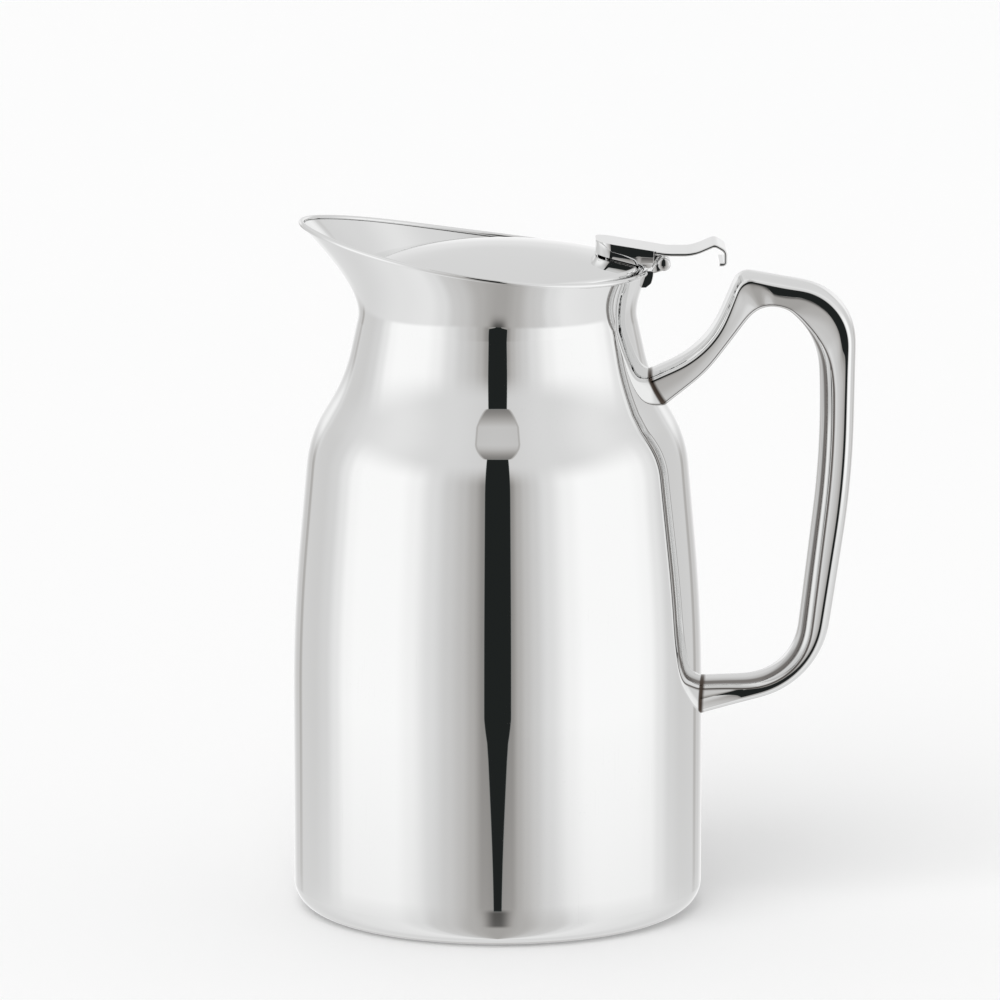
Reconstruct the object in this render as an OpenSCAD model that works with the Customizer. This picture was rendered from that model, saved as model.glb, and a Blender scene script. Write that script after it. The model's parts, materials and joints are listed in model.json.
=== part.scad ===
// Double-wall serving jug with a pouring lip, a hinged lid with a thumb lever, and a hollow side handle.
// Millimetres. The body's axis is Z, the lip points to -X and the handle to +X. It stands on Z = 0.

/* [Body] */
// Outer radius of the straight lower body
body_r = 58; // [55:0.5:62]
// Rounding of the body's bottom edge
base_round = 6; // [4:0.5:9]
// Height where the straight body ends and the slow taper starts
taper_z = 74; // [60:1:85]
// Outer radius at the top of the slow taper
shoulder_r = 54.2; // [52:0.2:56]
// Height of the shoulder's corner
shoulder_z = 131.5; // [127:0.5:135]
// Outer radius where the shoulder meets the neck
neck_low_r = 41.6; // [40.5:0.1:43]
// Height where the shoulder meets the neck
neck_low_z = 156.5; // [154:0.5:159]
// Outer radius at the weld between body and mouth
seam_r = 39.6; // [38.5:0.1:40.5]
// Height of the weld between body and mouth
seam_z = 168; // [165:0.5:169]
// Thickness of the outer wall
shell_wall = 0.8; // [0.6:0.1:1]

/* [Mouth and lip] */
// Outer radius of the rim at the sides and the rear
rim_r = 42.5; // [41.8:0.1:43.5]
// Height of the rim at the rear, above the weld
mouth_h = 14.6; // [13.6:0.1:15.6]
// Distance from the axis to the tip of the pouring lip
lip_reach = 55.8; // [50:0.2:62]
// Height of the lip's tip above the rim's rear
lip_rise = 13.6; // [8:0.2:18]
// Length of the small beak at the tip of the lip
beak = 2.4; // [0:0.2:4]
// Radius of the rolled bead along the rim
bead_r = 1; // [0.7:0.1:1.2]
// Thickness of the mouth's wall, measured level
mouth_wall = 1; // [0.8:0.1:1.2]

/* [Inner vessel] */
// Gap between the outer wall and the inner vessel
vacuum_gap = 4.4; // [3:0.2:6]
// Thickness of the inner vessel's wall
liner_wall = 0.6; // [0.5:0.1:0.8]
// Width of the ledge between the vessel's neck and the mouth's wall
ledge_w = 4.2; // [3:0.1:6]
// Height of the ledge above the weld
ledge_up = 4; // [3:0.1:5]
// Height of the vessel's floor
floor_z = 14; // [12:0.5:20]
// Height of the weld between the vessel's wall and its bottom
bottom_seam_z = 32; // [30:1:40]

/* [Base] */
// Inner radius of the turned-in foot
foot_r = 50; // [46:0.5:50.5]
// Height of the base cap's underside above the table
base_recess = 1.2; // [0.8:0.1:2]
// Height of the plate that closes the vacuum space
closing_z = 7.6; // [7:0.1:9]

/* [Lid] */
// Distance of the lid's centre behind the body's axis
lid_x = 0.6; // [0.4:0.1:0.8]
// Gap between the lid's edge and the rim, at the sides
lid_gap = 1.1; // [0.9:0.1:1.6]
// Height of the lid's highest point above the rim's rear
lid_crown = 6.9; // [6.2:0.1:7.4]
// Radius of the lid's shallow dome
dome_r = 137; // [125:1:150]
// Thickness of the lid's sheet
lid_wall = 0.8; // [0.6:0.1:1]
// Gap between the foot of the lid's plug and the mouth's wall
plug_gap = 1.8; // [1.6:0.1:3]

/* [Hinge and lever] */
// Distance of the hinge pin behind the rim
pin_out = 4; // [3.8:0.1:4.6]
// Height of the hinge pin above the rim's rear
pin_up = 1.8; // [1.4:0.1:2.2]
// Radius of the hinge pin
pin_r = 1; // [0.8:0.05:1.1]
// Outer radius of the hinge knuckles
knuckle_r = 1.9; // [1.7:0.05:2]
// Width of the lid's middle knuckle
knuckle_w = 8.6; // [6:0.2:10]
// Width over the bracket's two outer knuckles
bracket_w = 13.8; // [12.6:0.2:14]
// Height of the bracket's leaf
bracket_h = 4.8; // [3.6:0.1:6]
// Thickness of the bracket's leaf
leaf_t = 1.1; // [0.8:0.1:1.2]
// Width of the thumb lever
lever_w = 16; // [15.6:0.2:18]
// Distance from the pin to the lever's nose
nose_reach = 19.1; // [16:0.1:22]
// Height of the lever's nose above the lid's highest point
nose_up = 1.5; // [1.1:0.1:2]
// Thickness of the lever's sheet
lever_t = 0.9; // [0.7:0.05:1]
// Gap between the lever's side walls and the lid
lever_lift = 0.5; // [0.2:0.1:1]
// Distance from the pin to the lever's turned-down end
tail_reach = 17.7; // [14:0.1:17.8]
// Height of the lever's turned-down end
tail_drop = 6; // [4:0.2:6.4]

/* [Handle] */
// Distance from the body's axis to the handle's outer side
handle_reach = 100.8; // [97:0.2:106]
// Height of the handle's top below the pin
handle_drop = 2.4; // [1.6:0.1:3.4]
// Height of the handle's lower outer corner
handle_low_z = 63.2; // [60:0.2:66]
// Thickness of the grip, seen from the side
grip_t = 10; // [9:0.2:11]
// Width of the handle, seen from the rear
handle_w = 15; // [13:0.2:16.4]
// Depth of the rounded bands beside the handle's ridges
band = 2.8; // [2:0.1:3.2]
// Thickness of the handle's sheet
handle_wall = 1.1; // [0.8:0.1:1.3]

/* [Hidden] */
$fn = 96;
// Smallest gap between two pieces of one body
fit = 0.05;
// Running clearance of the pin in the lid's knuckle, and its clearance in the bracket
pin_play = 0.05;
pin_seat = 0.02;
// Gap between the closed lid and what it rests over
rest_gap = 0.3;
// Overlap that keeps a cut from leaving a skin
cut = 1;
// Roundings of the taper's start, the shoulder and the neck
taper_round = 260;
shoulder_round = 24;
neck_round = 30;
// Points on each rounded corner of an outline
arc_steps = 6;
// Number of slices round the mouth
mouth_slices = 72;
// Number of steps up the mouth's wall
mouth_steps = 8;

inner_r = body_r - shell_wall;
liner_r = inner_r - vacuum_gap;
foil_t = 0.2;
pan_wall = 0.6;
mouth_bore_r = seam_r - mouth_wall;
neck_bore_r = mouth_bore_r - ledge_w;
ledge_z = seam_z + ledge_up;
rim_rear_z = seam_z + mouth_h;
lid_r = rim_r - 2 * bead_r - lid_gap;
lid_top_z = rim_rear_z + lid_crown;
plug_z = ledge_z + rest_gap;
plug_r = mouth_bore_r - plug_gap;
pin_x = rim_r + pin_out;
pin_z = rim_rear_z + pin_up;
bracket_low_z = rim_rear_z - bracket_h;
nose_x = pin_x - nose_reach;
nose_z = lid_top_z + nose_up;
handle_top_z = pin_z - handle_drop;
handle_middle_z = (handle_top_z + handle_low_z) / 2 + 8;
lid_edge_z = lid_top_z - dome_drop(lid_r);
lid_skirt_z = lid_edge_z - 1.6;
pan_flange_r = lid_r - lid_wall - 0.1;
insulation_r = plug_r - pan_wall - 0.3;
knuckle_gap = 0.25;
// Radius of the hole through which the space between the walls was emptied
plug_hole_r = 1.5;
// Position where the lever's side walls end
skirt_end_x = pin_x - knuckle_r - 1.1;

function lerp(a, b, t) = a + (b - a) * t;
function unit(v) = v / norm(v);
function flat(p) = [p[0], p[1]];
function last(list) = list[len(list) - 1];
function reversed(list) = [for (i = [len(list) - 1:-1:0]) list[i]];
function dome_drop(r) = dome_r - sqrt(dome_r * dome_r - r * r);

// The arc that rounds corner b, given as [x, z, radius], between its neighbours a and c
function corner_arc(a, b, c) =
  let (u = unit(flat(a) - flat(b)))
  let (v = unit(flat(c) - flat(b)))
  let (half = acos(u * v) / 2)
  let (centre = flat(b) + unit(u + v) * b[2] / sin(half))
  let (from = flat(b) + u * b[2] / tan(half) - centre)
  let (to = flat(b) + v * b[2] / tan(half) - centre)
  let (start = atan2(from[1], from[0]))
  let (turn = (atan2(to[1], to[0]) - start + 540) % 360 - 180)
  [
    for (i = [0:arc_steps])
      let (t = start + turn * i / arc_steps)
      centre + b[2] * [cos(t), sin(t)]
  ];

// An open line through corner points, each corner rounded and each straight run cut into equal parts
function rounded(corners, parts = 1) =
  let (ends = len(corners) - 1)
  let (arcs = [
    for (i = [0:ends])
      i == 0 || i == ends ? [flat(corners[i])] : corner_arc(corners[i - 1], corners[i], corners[i + 1])
  ])
  [
    for (i = [0:ends])
      each concat(arcs[i], i == ends ? [] : [
        for (k = [1:1:parts - 1]) lerp(last(arcs[i]), arcs[i + 1][0], k / parts)
      ])
  ];

// The direction across a line at point i, to the left of its run
function across(line, i) =
  let (d = unit(line[min(i + 1, len(line) - 1)] - line[max(i - 1, 0)]))
  [-d[1], d[0]];

// The same line moved sideways, to its left where the distance is positive
function beside(line, distance) = [for (i = [0:len(line) - 1]) line[i] + across(line, i) * distance];

// A sheet of even thickness, turned round the Z axis
module turned_sheet(line, thickness) {
  rotate_extrude()
    polygon([
      for (p = concat(line, reversed(beside(line, thickness))))
        [max(0, p[0]), p[1]]
    ]);
}

// A profile in the X-Z plane, extruded to both sides of Y = 0
module side_profile(width) {
  rotate([90, 0, 0])
    linear_extrude(height = width, center = true)
      children();
}

// A closed surface through rings of equal length. The rings close on themselves or end in flat caps
module skin(rings, closed) {
  n = len(rings[0]);
  m = len(rings);
  points = [for (ring = rings) each ring];
  sides = [
    for (j = [0:(closed ? m - 1 : m - 2)], i = [0:n - 1])
      let (a = j * n + i)
      let (b = j * n + (i + 1) % n)
      let (c = ((j + 1) % m) * n + (i + 1) % n)
      let (d = ((j + 1) % m) * n + i)
      each [[a, b, c], [a, c, d]]
  ];
  caps = closed ? [] : [
    [for (i = [n - 1:-1:0]) i],
    [for (i = [0:n - 1]) (m - 1) * n + i]
  ];
  polyhedron(points = points, faces = concat(sides, caps), convexity = 10);
}

// Outline of the outer wall, from the foot's inner edge up to the weld
shell_line = rounded([
  [foot_r, 0],
  [body_r, 0, base_round],
  [body_r, taper_z, taper_round],
  [shoulder_r, shoulder_z, shoulder_round],
  [neck_low_r, neck_low_z, neck_round],
  [seam_r, seam_z]
]);

module outer_shell() {
  foot_edge_h = 3;
  color("gainsboro") {
    turned_sheet(shell_line, shell_wall);
    // The hem that holds the base cap
    rotate_extrude()
      translate([foot_r, 0])
        square([shell_wall, foot_edge_h]);
  }
}

// The solid space that the body and its neck fill, for fitting what is welded to the outside
module body_envelope(gap) {
  rotate_extrude()
    polygon(concat([[0, 0]], [for (p = shell_line) [p[0] + gap, p[1]]], [[0, seam_z]]));
}

// Plan radius of the rim in direction a, where 180 is the lip
function rim_radius(a) =
  let (front = max(0, -cos(a)))
  rim_r + (lip_reach - rim_r - beak) * pow(front, 2) + beak * pow(front, 24);

// Height of the rim at plan position x
function rim_height(x) =
  let (s = (rim_r - x) / (rim_r + lip_reach))
  rim_rear_z + lip_rise * (0.2 * s + 0.8 * s * s);

// Outer radius of the mouth's wall in direction a, at share u of the way from the weld to the bead
function flare_radius(a, u, top_r) =
  let (neck_draw = 1.8)
  seam_r + (top_r - seam_r) * pow(u, 1.5) - neck_draw * u * pow(1 - u, 2);

// Section of the mouth's wall in direction a: outside up, round the bead, inside down
function mouth_section(a) =
  let (reach = rim_radius(a))
  let (bead_c = [reach - bead_r, rim_height(reach * cos(a)) - bead_r])
  let (top_r = bead_c[0] + mouth_wall / 2)
  let (steps = [for (i = [0:mouth_steps - 1]) i / mouth_steps])
  let (outside = [for (u = steps) [flare_radius(a, u, top_r), lerp(seam_z, bead_c[1], u)]])
  let (bead = [for (t = [-40:44:224]) bead_c + bead_r * [cos(t), sin(t)]])
  let (inside = [for (p = reversed(outside)) [p[0] - mouth_wall, p[1]]])
  concat(outside, bead, inside);

module mouth_collar() {
  color("whitesmoke")
    skin([
      for (k = [0:mouth_slices - 1])
        let (a = 360 * k / mouth_slices)
        [for (p = mouth_section(a)) [p[0] * cos(a), p[0] * sin(a), p[1]]]
    ], true);
}

// The solid space inside the mouth's outer surface, grown by a gap
module mouth_envelope(gap) {
  skin([
    for (k = [0:mouth_slices - 1])
      let (a = 360 * k / mouth_slices)
      concat(
        [[0, 0, seam_z]],
        [
          for (i = [0:mouth_steps + 3])
            let (p = mouth_section(a)[i])
            [(p[0] + gap) * cos(a), (p[0] + gap) * sin(a), p[1]]
        ],
        [[0, 0, rim_height(0)]]
      )
  ], true);
}

// Outline of the inner vessel's outer surface, from the centre of its floor to the ledge
liner_line = rounded([
  [0, floor_z - liner_wall],
  [liner_r, floor_z - liner_wall, 12],
  [liner_r, taper_z - vacuum_gap, taper_round],
  [shoulder_r - shell_wall - vacuum_gap, shoulder_z - vacuum_gap / 2, shoulder_round - vacuum_gap],
  [neck_bore_r + liner_wall, neck_low_z - vacuum_gap / 2, 20],
  [neck_bore_r + liner_wall, ledge_z]
]);

module liner_sheet() {
  turned_sheet(liner_line, liner_wall);
}

module inner_liner() {
  color("lightgray") {
    difference() {
      liner_sheet();
      translate([0, 0, -cut])
        cylinder(r = body_r, h = bottom_seam_z + cut);
    }
    // The ledge that joins the vessel's neck to the mouth
    difference() {
      intersection() {
        translate([0, 0, ledge_z - liner_wall])
          cylinder(r = lip_reach, h = liner_wall);
        mouth_envelope(-mouth_wall - fit);
      }
      cylinder(r = neck_bore_r, h = ledge_z + cut);
    }
  }
}

module liner_bottom() {
  color("lightgray")
    intersection() {
      liner_sheet();
      translate([0, 0, -cut])
        cylinder(r = body_r, h = bottom_seam_z - fit + cut);
    }
}

module liner_foil() {
  out = foil_t + 0.1;
  foil_line = [
    [liner_r + out, bottom_seam_z + 4],
    [liner_r + out, taper_z - vacuum_gap],
    [shoulder_r - shell_wall - vacuum_gap + out, shoulder_z - vacuum_gap / 2]
  ];
  color("peru")
    intersection() {
      turned_sheet(foil_line, foil_t);
      cylinder(r = body_r, h = shoulder_z - 10);
    }
}

module closing_plate() {
  flange_h = 4;
  flange_round = 2;
  edge_r = inner_r - fit;
  edge_line = rounded([[0, closing_z], [edge_r, closing_z, flange_round], [edge_r, closing_z + flange_h]]);
  color("silver")
    difference() {
      turned_sheet(edge_line, shell_wall);
      translate([0, 0, closing_z - cut])
        cylinder(r = plug_hole_r, h = shell_wall + 2 * cut);
    }
}

module seal_plug() {
  head_r = plug_hole_r + 2;
  head_h = 1.3;
  color("dimgray") {
    translate([0, 0, closing_z - head_h / 2])
      cylinder(r = plug_hole_r - fit, h = shell_wall + head_h / 2);
    translate([0, 0, closing_z - head_h])
      cylinder(r = head_r, h = head_h - fit);
  }
}

module getter_ring() {
  ring_r = 5;
  ring_bore_r = 3;
  ring_h = 1.6;
  ring_x = foot_r * 0.48;
  color("darkslategray")
    translate([ring_x, 0, closing_z + shell_wall + fit])
      difference() {
        cylinder(r = ring_r, h = ring_h);
        translate([0, 0, -cut])
          cylinder(r = ring_bore_r, h = ring_h + 2 * cut);
      }
}

module base_cap() {
  cap_r = foot_r - fit;
  flange_z = 4;
  flange_round = 1.2;
  dish_rise = 0.8;
  dish_r = foot_r * 0.88;
  cap_line = rounded([
    [0, base_recess + dish_rise],
    [dish_r, base_recess, 20],
    [cap_r, base_recess, flange_round],
    [cap_r, flange_z]
  ]);
  color("silver")
    turned_sheet(cap_line, shell_wall);
}

// Corners of the handle's outer edge, from inside the neck over the top and down to the foot
handle_outer = [
  [seam_r - 5.6, handle_top_z - 33.5],
  [pin_x + 12, handle_top_z - 18.2, 14],
  [pin_x + tail_reach + 1.5, handle_top_z, 1.6],
  [handle_reach + 0.4, handle_top_z - 2.8, 21],
  [handle_reach - 0.6, handle_middle_z, 300],
  [handle_reach - 8.5, handle_low_z, 17],
  [body_r - 6, handle_low_z - 9.3]
];
// Corners of the handle's inner edge, in the same order
handle_inner = [
  [seam_r + 0.4, handle_top_z - 47.1],
  [pin_x + 11.5, handle_top_z - 28, 40],
  [pin_x + 30.9, handle_top_z - 9.3, 6.5],
  [handle_reach + 0.1 - grip_t, handle_top_z - 20.5, 13],
  [handle_reach - 0.3 - grip_t, handle_middle_z + 3, 300],
  [handle_reach - 8.5 - grip_t, handle_low_z + 4.8, 11],
  [body_r - 8, handle_low_z + 2.2]
];

// Half of the handle's section, as [share across, width], for a section of thickness t
function half_section(t, inset) =
  let (w = handle_w / 2 - inset)
  let (h = t / 2 - inset)
  let (b = band - inset / 2)
  [
    [h, 0], [h - b * 0.1, w * 0.42], [h - b * 0.38, w * 0.76], [h - b, w],
    [0, w + 0.3],
    [b - h, w], [b * 0.38 - h, w * 0.74], [b * 0.1 - h, w * 0.4], [-h, 0]
  ];

// One half of the hollow handle. Side is 1 for +Y and -1 for -Y
module handle_half(side) {
  outer_line = rounded(handle_outer, 3);
  inner_line = rounded(handle_inner, 3);
  rings = [
    for (k = [0:len(outer_line) - 1])
      let (middle = (outer_line[k] + inner_line[k]) / 2)
      let (t = norm(outer_line[k] - inner_line[k]))
      let (n = unit(outer_line[k] - inner_line[k]))
      let (section = concat(half_section(t, 0), reversed(half_section(t, handle_wall))))
      let (ring = [
        for (p = section) [middle[0] + n[0] * p[0], side * (p[1] + fit / 2), middle[1] + n[1] * p[0]]
      ])
      side > 0 ? reversed(ring) : ring
  ];
  difference() {
    skin(rings, false);
    body_envelope(fit);
  }
}

module handle_left() {
  color("whitesmoke")
    handle_half(-1);
}

module handle_right() {
  color("gainsboro")
    handle_half(1);
}

// A round hole or bar along the hinge axis
module on_pin_axis(radius, width) {
  translate([pin_x, 0, pin_z])
    rotate([90, 0, 0])
      cylinder(r = radius, h = width, center = true);
}

module hinge_bracket() {
  leaf_top_z = rim_rear_z - 0.2;
  leaf_out_x = rim_r + leaf_t;
  color("darkgray")
    difference() {
      union() {
        on_pin_axis(knuckle_r, bracket_w);
        side_profile(bracket_w)
          polygon([
            [seam_r - 1, bracket_low_z],
            [leaf_out_x - 2.2, bracket_low_z],
            [leaf_out_x - 1.2, bracket_low_z + 0.8],
            [leaf_out_x, leaf_top_z - 0.6],
            [pin_x + knuckle_r * 0.7, pin_z - knuckle_r * 0.7],
            [pin_x - knuckle_r * 0.7, pin_z + knuckle_r * 0.7],
            [leaf_out_x - 0.6, leaf_top_z],
            [seam_r - 1, leaf_top_z]
          ]);
      }
      mouth_envelope(fit);
      // Room for the lid's knuckle and strap between the two outer knuckles
      side_profile(knuckle_w + 2 * knuckle_gap)
        polygon([
          [leaf_out_x + 0.1, bracket_low_z],
          [leaf_out_x + 0.1, leaf_top_z - 0.5],
          [leaf_out_x - 1, leaf_top_z],
          [leaf_out_x - 1, pin_z + knuckle_r + cut],
          [pin_x + knuckle_r + cut, pin_z + knuckle_r + cut],
          [pin_x + knuckle_r + cut, bracket_low_z]
        ]);
      on_pin_axis(pin_r + pin_seat, bracket_w + 2 * cut);
    }
}

module hinge_pin() {
  color("lightslategray")
    on_pin_axis(pin_r, bracket_w + 0.4);
}

// Outline of the lid's upper surface, from its centre to its lower edge
lid_line = rounded([
  for (i = [0:6])
    let (r = lid_r * i / 6)
    [r, lid_top_z - dome_drop(r), i < 6 ? dome_r / 4 : 2],
  [lid_r, lid_skirt_z]
]);

module lid_dome() {
  color("whitesmoke")
    translate([lid_x, 0, 0])
      turned_sheet(reversed(lid_line), lid_wall);
}

module lid_pan() {
  pan_line = rounded([
    [0, plug_z],
    [plug_r, plug_z, 2.5],
    [plug_r + 0.8, lid_skirt_z, 0.8],
    [pan_flange_r, lid_skirt_z]
  ]);
  color("silver")
    translate([lid_x, 0, 0])
      turned_sheet(pan_line, pan_wall);
}

module lid_insulation() {
  low_z = plug_z + pan_wall + 0.1;
  top = [
    for (r = [0:6:insulation_r + 1])
      let (x = min(r, insulation_r))
      [x, lid_top_z - dome_drop(x) - lid_wall - 0.2]
  ];
  color("ivory")
    translate([lid_x, 0, 0])
      rotate_extrude()
        polygon(concat([[0, low_z], [insulation_r - 2, low_z], [insulation_r, low_z + 2]], reversed(top)));
}

// The solid space under the lid's upper surface
module dome_space(gap) {
  translate([lid_x, 0, lid_top_z - dome_r])
    sphere(r = dome_r + gap);
}

// Line of the lever's top face, from its nose to its turned-down tail
tail_x = pin_x + tail_reach;
saddle_z = pin_z + knuckle_r + 0.5 + lever_t;
tail_top_z = pin_z + tail_drop;
lever_line = rounded([
  [nose_x, nose_z],
  [pin_x + 1, saddle_z, 20],
  [tail_x - 9.6, saddle_z, 12],
  [tail_x - 3.4, tail_top_z, 1.6],
  [tail_x, tail_top_z - 2, 1.6],
  [tail_x, tail_top_z - tail_drop - 0.4, 1.3],
  [tail_x - 2.2, tail_top_z - tail_drop - 0.4]
]);

// The lever's side outline: along its top, back under the tail, and round the side walls
lever_under = beside(lever_line, -lever_t);
skirt_low_z = lid_edge_z - 1;
skirt_outline = concat(
  lever_line,
  reversed([for (p = lever_under) if (p[0] > skirt_end_x) p]),
  [
    [skirt_end_x, under_lever(skirt_end_x)],
    [skirt_end_x, pin_z + 0.6],
    [lid_x + lid_r - 1.6, pin_z + 0.2],
    [lid_x + lid_r - 2, skirt_low_z],
    [nose_x, skirt_low_z]
  ]
);
// Height of the underside of the lever's sheet, over its straight front
function under_lever(x) =
  let (rise = saddle_z - nose_z)
  let (run = pin_x + 1 - nose_x)
  nose_z + rise * (x - nose_x) / run - lever_t * norm([rise, run]) / run;

module thumb_lever() {
  nose_round = 3;
  inside_x = nose_x + lever_t;
  color("silver")
    difference() {
      side_profile(lever_w)
        polygon(skirt_outline);
      // The hollow between the side walls
      side_profile(lever_w - 2 * lever_t)
        polygon([
          [inside_x, under_lever(inside_x)],
          [skirt_end_x + cut, under_lever(skirt_end_x + cut)],
          [skirt_end_x + cut, skirt_low_z - cut],
          [inside_x, skirt_low_z - cut]
        ]);
      // The rounded corners of the nose
      for (s = [-1, 1])
        translate([nose_x + nose_round, s * (lever_w / 2 - nose_round), skirt_low_z - cut])
          difference() {
            translate([-nose_round - cut, s > 0 ? 0 : -nose_round - cut, 0])
              cube([nose_round + cut, nose_round + cut, 20]);
            translate([0, 0, -cut])
              cylinder(r = nose_round, h = 20 + 2 * cut);
          }
      dome_space(lever_lift);
    }
}

module lid_hinge_arm() {
  arm_w = lever_w - 2 * lever_t - 1.2;
  arm_front_x = nose_x + 3;
  arm_low_z = rim_rear_z + 0.7;
  lid_edge_x = lid_x + lid_r;
  color("darkgray")
    difference() {
      union() {
        on_pin_axis(knuckle_r, knuckle_w);
        side_profile(arm_w)
          polygon([
            [arm_front_x, skirt_low_z],
            [lid_edge_x, skirt_low_z],
            [lid_edge_x, arm_low_z],
            [skirt_end_x - 0.8, arm_low_z],
            [skirt_end_x, pin_z],
            [skirt_end_x, under_lever(skirt_end_x) - fit],
            [arm_front_x, under_lever(arm_front_x) - fit]
          ]);
        // The strap from the arm to the middle knuckle
        side_profile(knuckle_w)
          polygon([
            [skirt_end_x - 1, pin_z + 0.2],
            [pin_x - knuckle_r + 0.3, pin_z],
            [pin_x, pin_z + knuckle_r],
            [skirt_end_x - 1, pin_z + knuckle_r]
          ]);
      }
      dome_space(fit);
      on_pin_axis(pin_r + pin_play, knuckle_w + 2 * cut);
    }
}

outer_shell();
mouth_collar();
inner_liner();
liner_bottom();
liner_foil();
getter_ring();
closing_plate();
seal_plug();
base_cap();
handle_left();
handle_right();
hinge_bracket();
hinge_pin();
lid_dome();
lid_pan();
lid_insulation();
lid_hinge_arm();
thumb_lever();
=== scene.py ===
"""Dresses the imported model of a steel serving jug: polished sheet pieces, satin inside, a plain studio.

Metres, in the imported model's own frame: Z up, the pouring lip towards -X, the handle towards +X.
"""
import functools
import json
import math

import bmesh
import bpy
from bpy.props import FloatProperty, FloatVectorProperty, PointerProperty
from mathutils import Matrix, Vector


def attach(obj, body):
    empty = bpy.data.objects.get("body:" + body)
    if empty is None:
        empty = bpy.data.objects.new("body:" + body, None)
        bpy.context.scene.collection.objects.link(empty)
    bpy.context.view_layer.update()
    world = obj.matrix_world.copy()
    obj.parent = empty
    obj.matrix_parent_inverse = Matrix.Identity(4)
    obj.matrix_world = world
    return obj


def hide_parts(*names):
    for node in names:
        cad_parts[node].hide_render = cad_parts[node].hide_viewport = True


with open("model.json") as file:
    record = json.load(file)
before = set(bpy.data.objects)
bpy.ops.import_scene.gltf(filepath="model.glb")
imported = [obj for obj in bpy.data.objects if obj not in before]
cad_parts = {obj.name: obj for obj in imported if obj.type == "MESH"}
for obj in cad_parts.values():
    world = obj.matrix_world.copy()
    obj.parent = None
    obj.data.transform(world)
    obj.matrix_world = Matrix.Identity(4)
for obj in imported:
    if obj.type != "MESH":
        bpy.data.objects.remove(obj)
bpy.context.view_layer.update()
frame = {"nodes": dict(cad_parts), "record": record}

bl_info = {
    "name": "Steel serving jug",
    "version": (1, 0, 0),
    "blender": (4, 5, 0),
    "location": "3D View > Sidebar > Jug",
    "description": "Builds the polished sheet pieces of a double-wall serving jug over its packed model",
    "category": "Object",
}

MM = 0.001
TURN = 2 * math.pi
# Steps round a turned piece: the mouth with its lip, the polished sheets, and the satin ones
MOUTH_STEPS, POLISHED_STEPS, SATIN_STEPS = 288, 256, 192


# Sizes and colours that a user would change


def size(name, description, value, low, high):
    """A length property. Its default and limits are given in millimetres and kept in metres."""
    return FloatProperty(
        name=name, description=description, default=value * MM, min=low * MM, max=high * MM,
        unit="LENGTH", precision=5,
    )


def share(name, description, value, high=1.0):
    """A property between zero and a limit, without a unit."""
    return FloatProperty(
        name=name, description=description, default=value, min=0.0, max=high, precision=3
    )


def tint(name, description, value):
    """A colour property."""
    return FloatVectorProperty(
        name=name, description=description, default=value, size=3, subtype="COLOR", min=0.0, max=1.0
    )


class JugBodySizes(bpy.types.PropertyGroup):
    radius: size("Radius", "Outer radius of the straight lower body", 57.8, 57, 62)
    foot_radius: size("Foot radius", "Inner radius of the turned-in foot", 50, 46, 51)
    base_round: size("Base rounding", "Rounding of the body's bottom edge", 7, 4, 7)
    taper_height: size("Taper start", "Height where the slow taper starts", 83, 75, 90)
    shoulder_radius: size("Shoulder radius", "Outer radius at the top of the slow taper", 53.1, 52, 54)
    shoulder_height: size("Shoulder height", "Height of the shoulder's corner", 134.6, 133, 136)
    neck_radius: size("Neck radius", "Outer radius where the shoulder meets the neck", 43, 42, 44)
    neck_height: size("Neck height", "Height where the shoulder meets the neck", 150.8, 150, 153)
    seam_radius: size("Seam radius", "Outer radius at the weld between body and mouth", 39.3, 38.5, 40)
    seam_height: size("Seam height", "Height of the weld between body and mouth", 168, 165, 169)
    wall: size("Wall", "Thickness of the outer wall", 0.8, 0.6, 1)
    taper_round: size("Taper rounding", "Radius where the slow taper starts", 480, 100, 600)
    shoulder_round: size("Shoulder rounding", "Radius of the shoulder", 33, 20, 36)
    neck_round: size("Neck rounding", "Radius of the hollow between shoulder and neck", 48, 30, 52)
    ease: size("Ease", "How far the body's curves run into each other", 1.3, 0, 3)


class JugMouthSizes(bpy.types.PropertyGroup):
    rim_radius: size("Rim radius", "Outer radius of the rim at the sides and the rear", 42.5, 41, 44)
    rim_height: size("Rim height", "Height of the rim at the rear", 182.6, 180, 185)
    lip_reach: size("Lip reach", "Distance from the axis to the tip of the lip", 55.8, 50, 62)
    lip_rise: size("Lip rise", "Height of the lip's tip above the rim's rear", 13.6, 8, 18)
    beak: size("Beak", "Length of the small beak at the tip of the lip", 2.4, 0, 4)
    bead: size("Bead", "Radius of the rolled bead along the rim", 0.8, 0.7, 1.2)
    wall: size("Wall", "Thickness of the mouth's wall, measured level", 0.85, 0.8, 1.2)


class JugVesselSizes(bpy.types.PropertyGroup):
    gap: size("Gap", "Gap between the outer wall and the vessel", 4.4, 3, 6)
    wall: size("Wall", "Thickness of the vessel's wall", 0.6, 0.5, 0.8)
    bore: size("Neck bore", "Inner radius of the vessel's neck", 34.4, 32, 36)
    ledge_height: size("Ledge height", "Height of the ledge between neck and mouth", 172, 170, 174)
    floor_height: size("Floor height", "Height of the vessel's floor", 14, 12, 20)
    seam_height: size("Seam height", "Height of the weld above the vessel's bottom", 32, 30, 40)
    base_recess: size("Base recess", "Height of the base cap above the table", 1.2, 0.8, 2)


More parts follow.
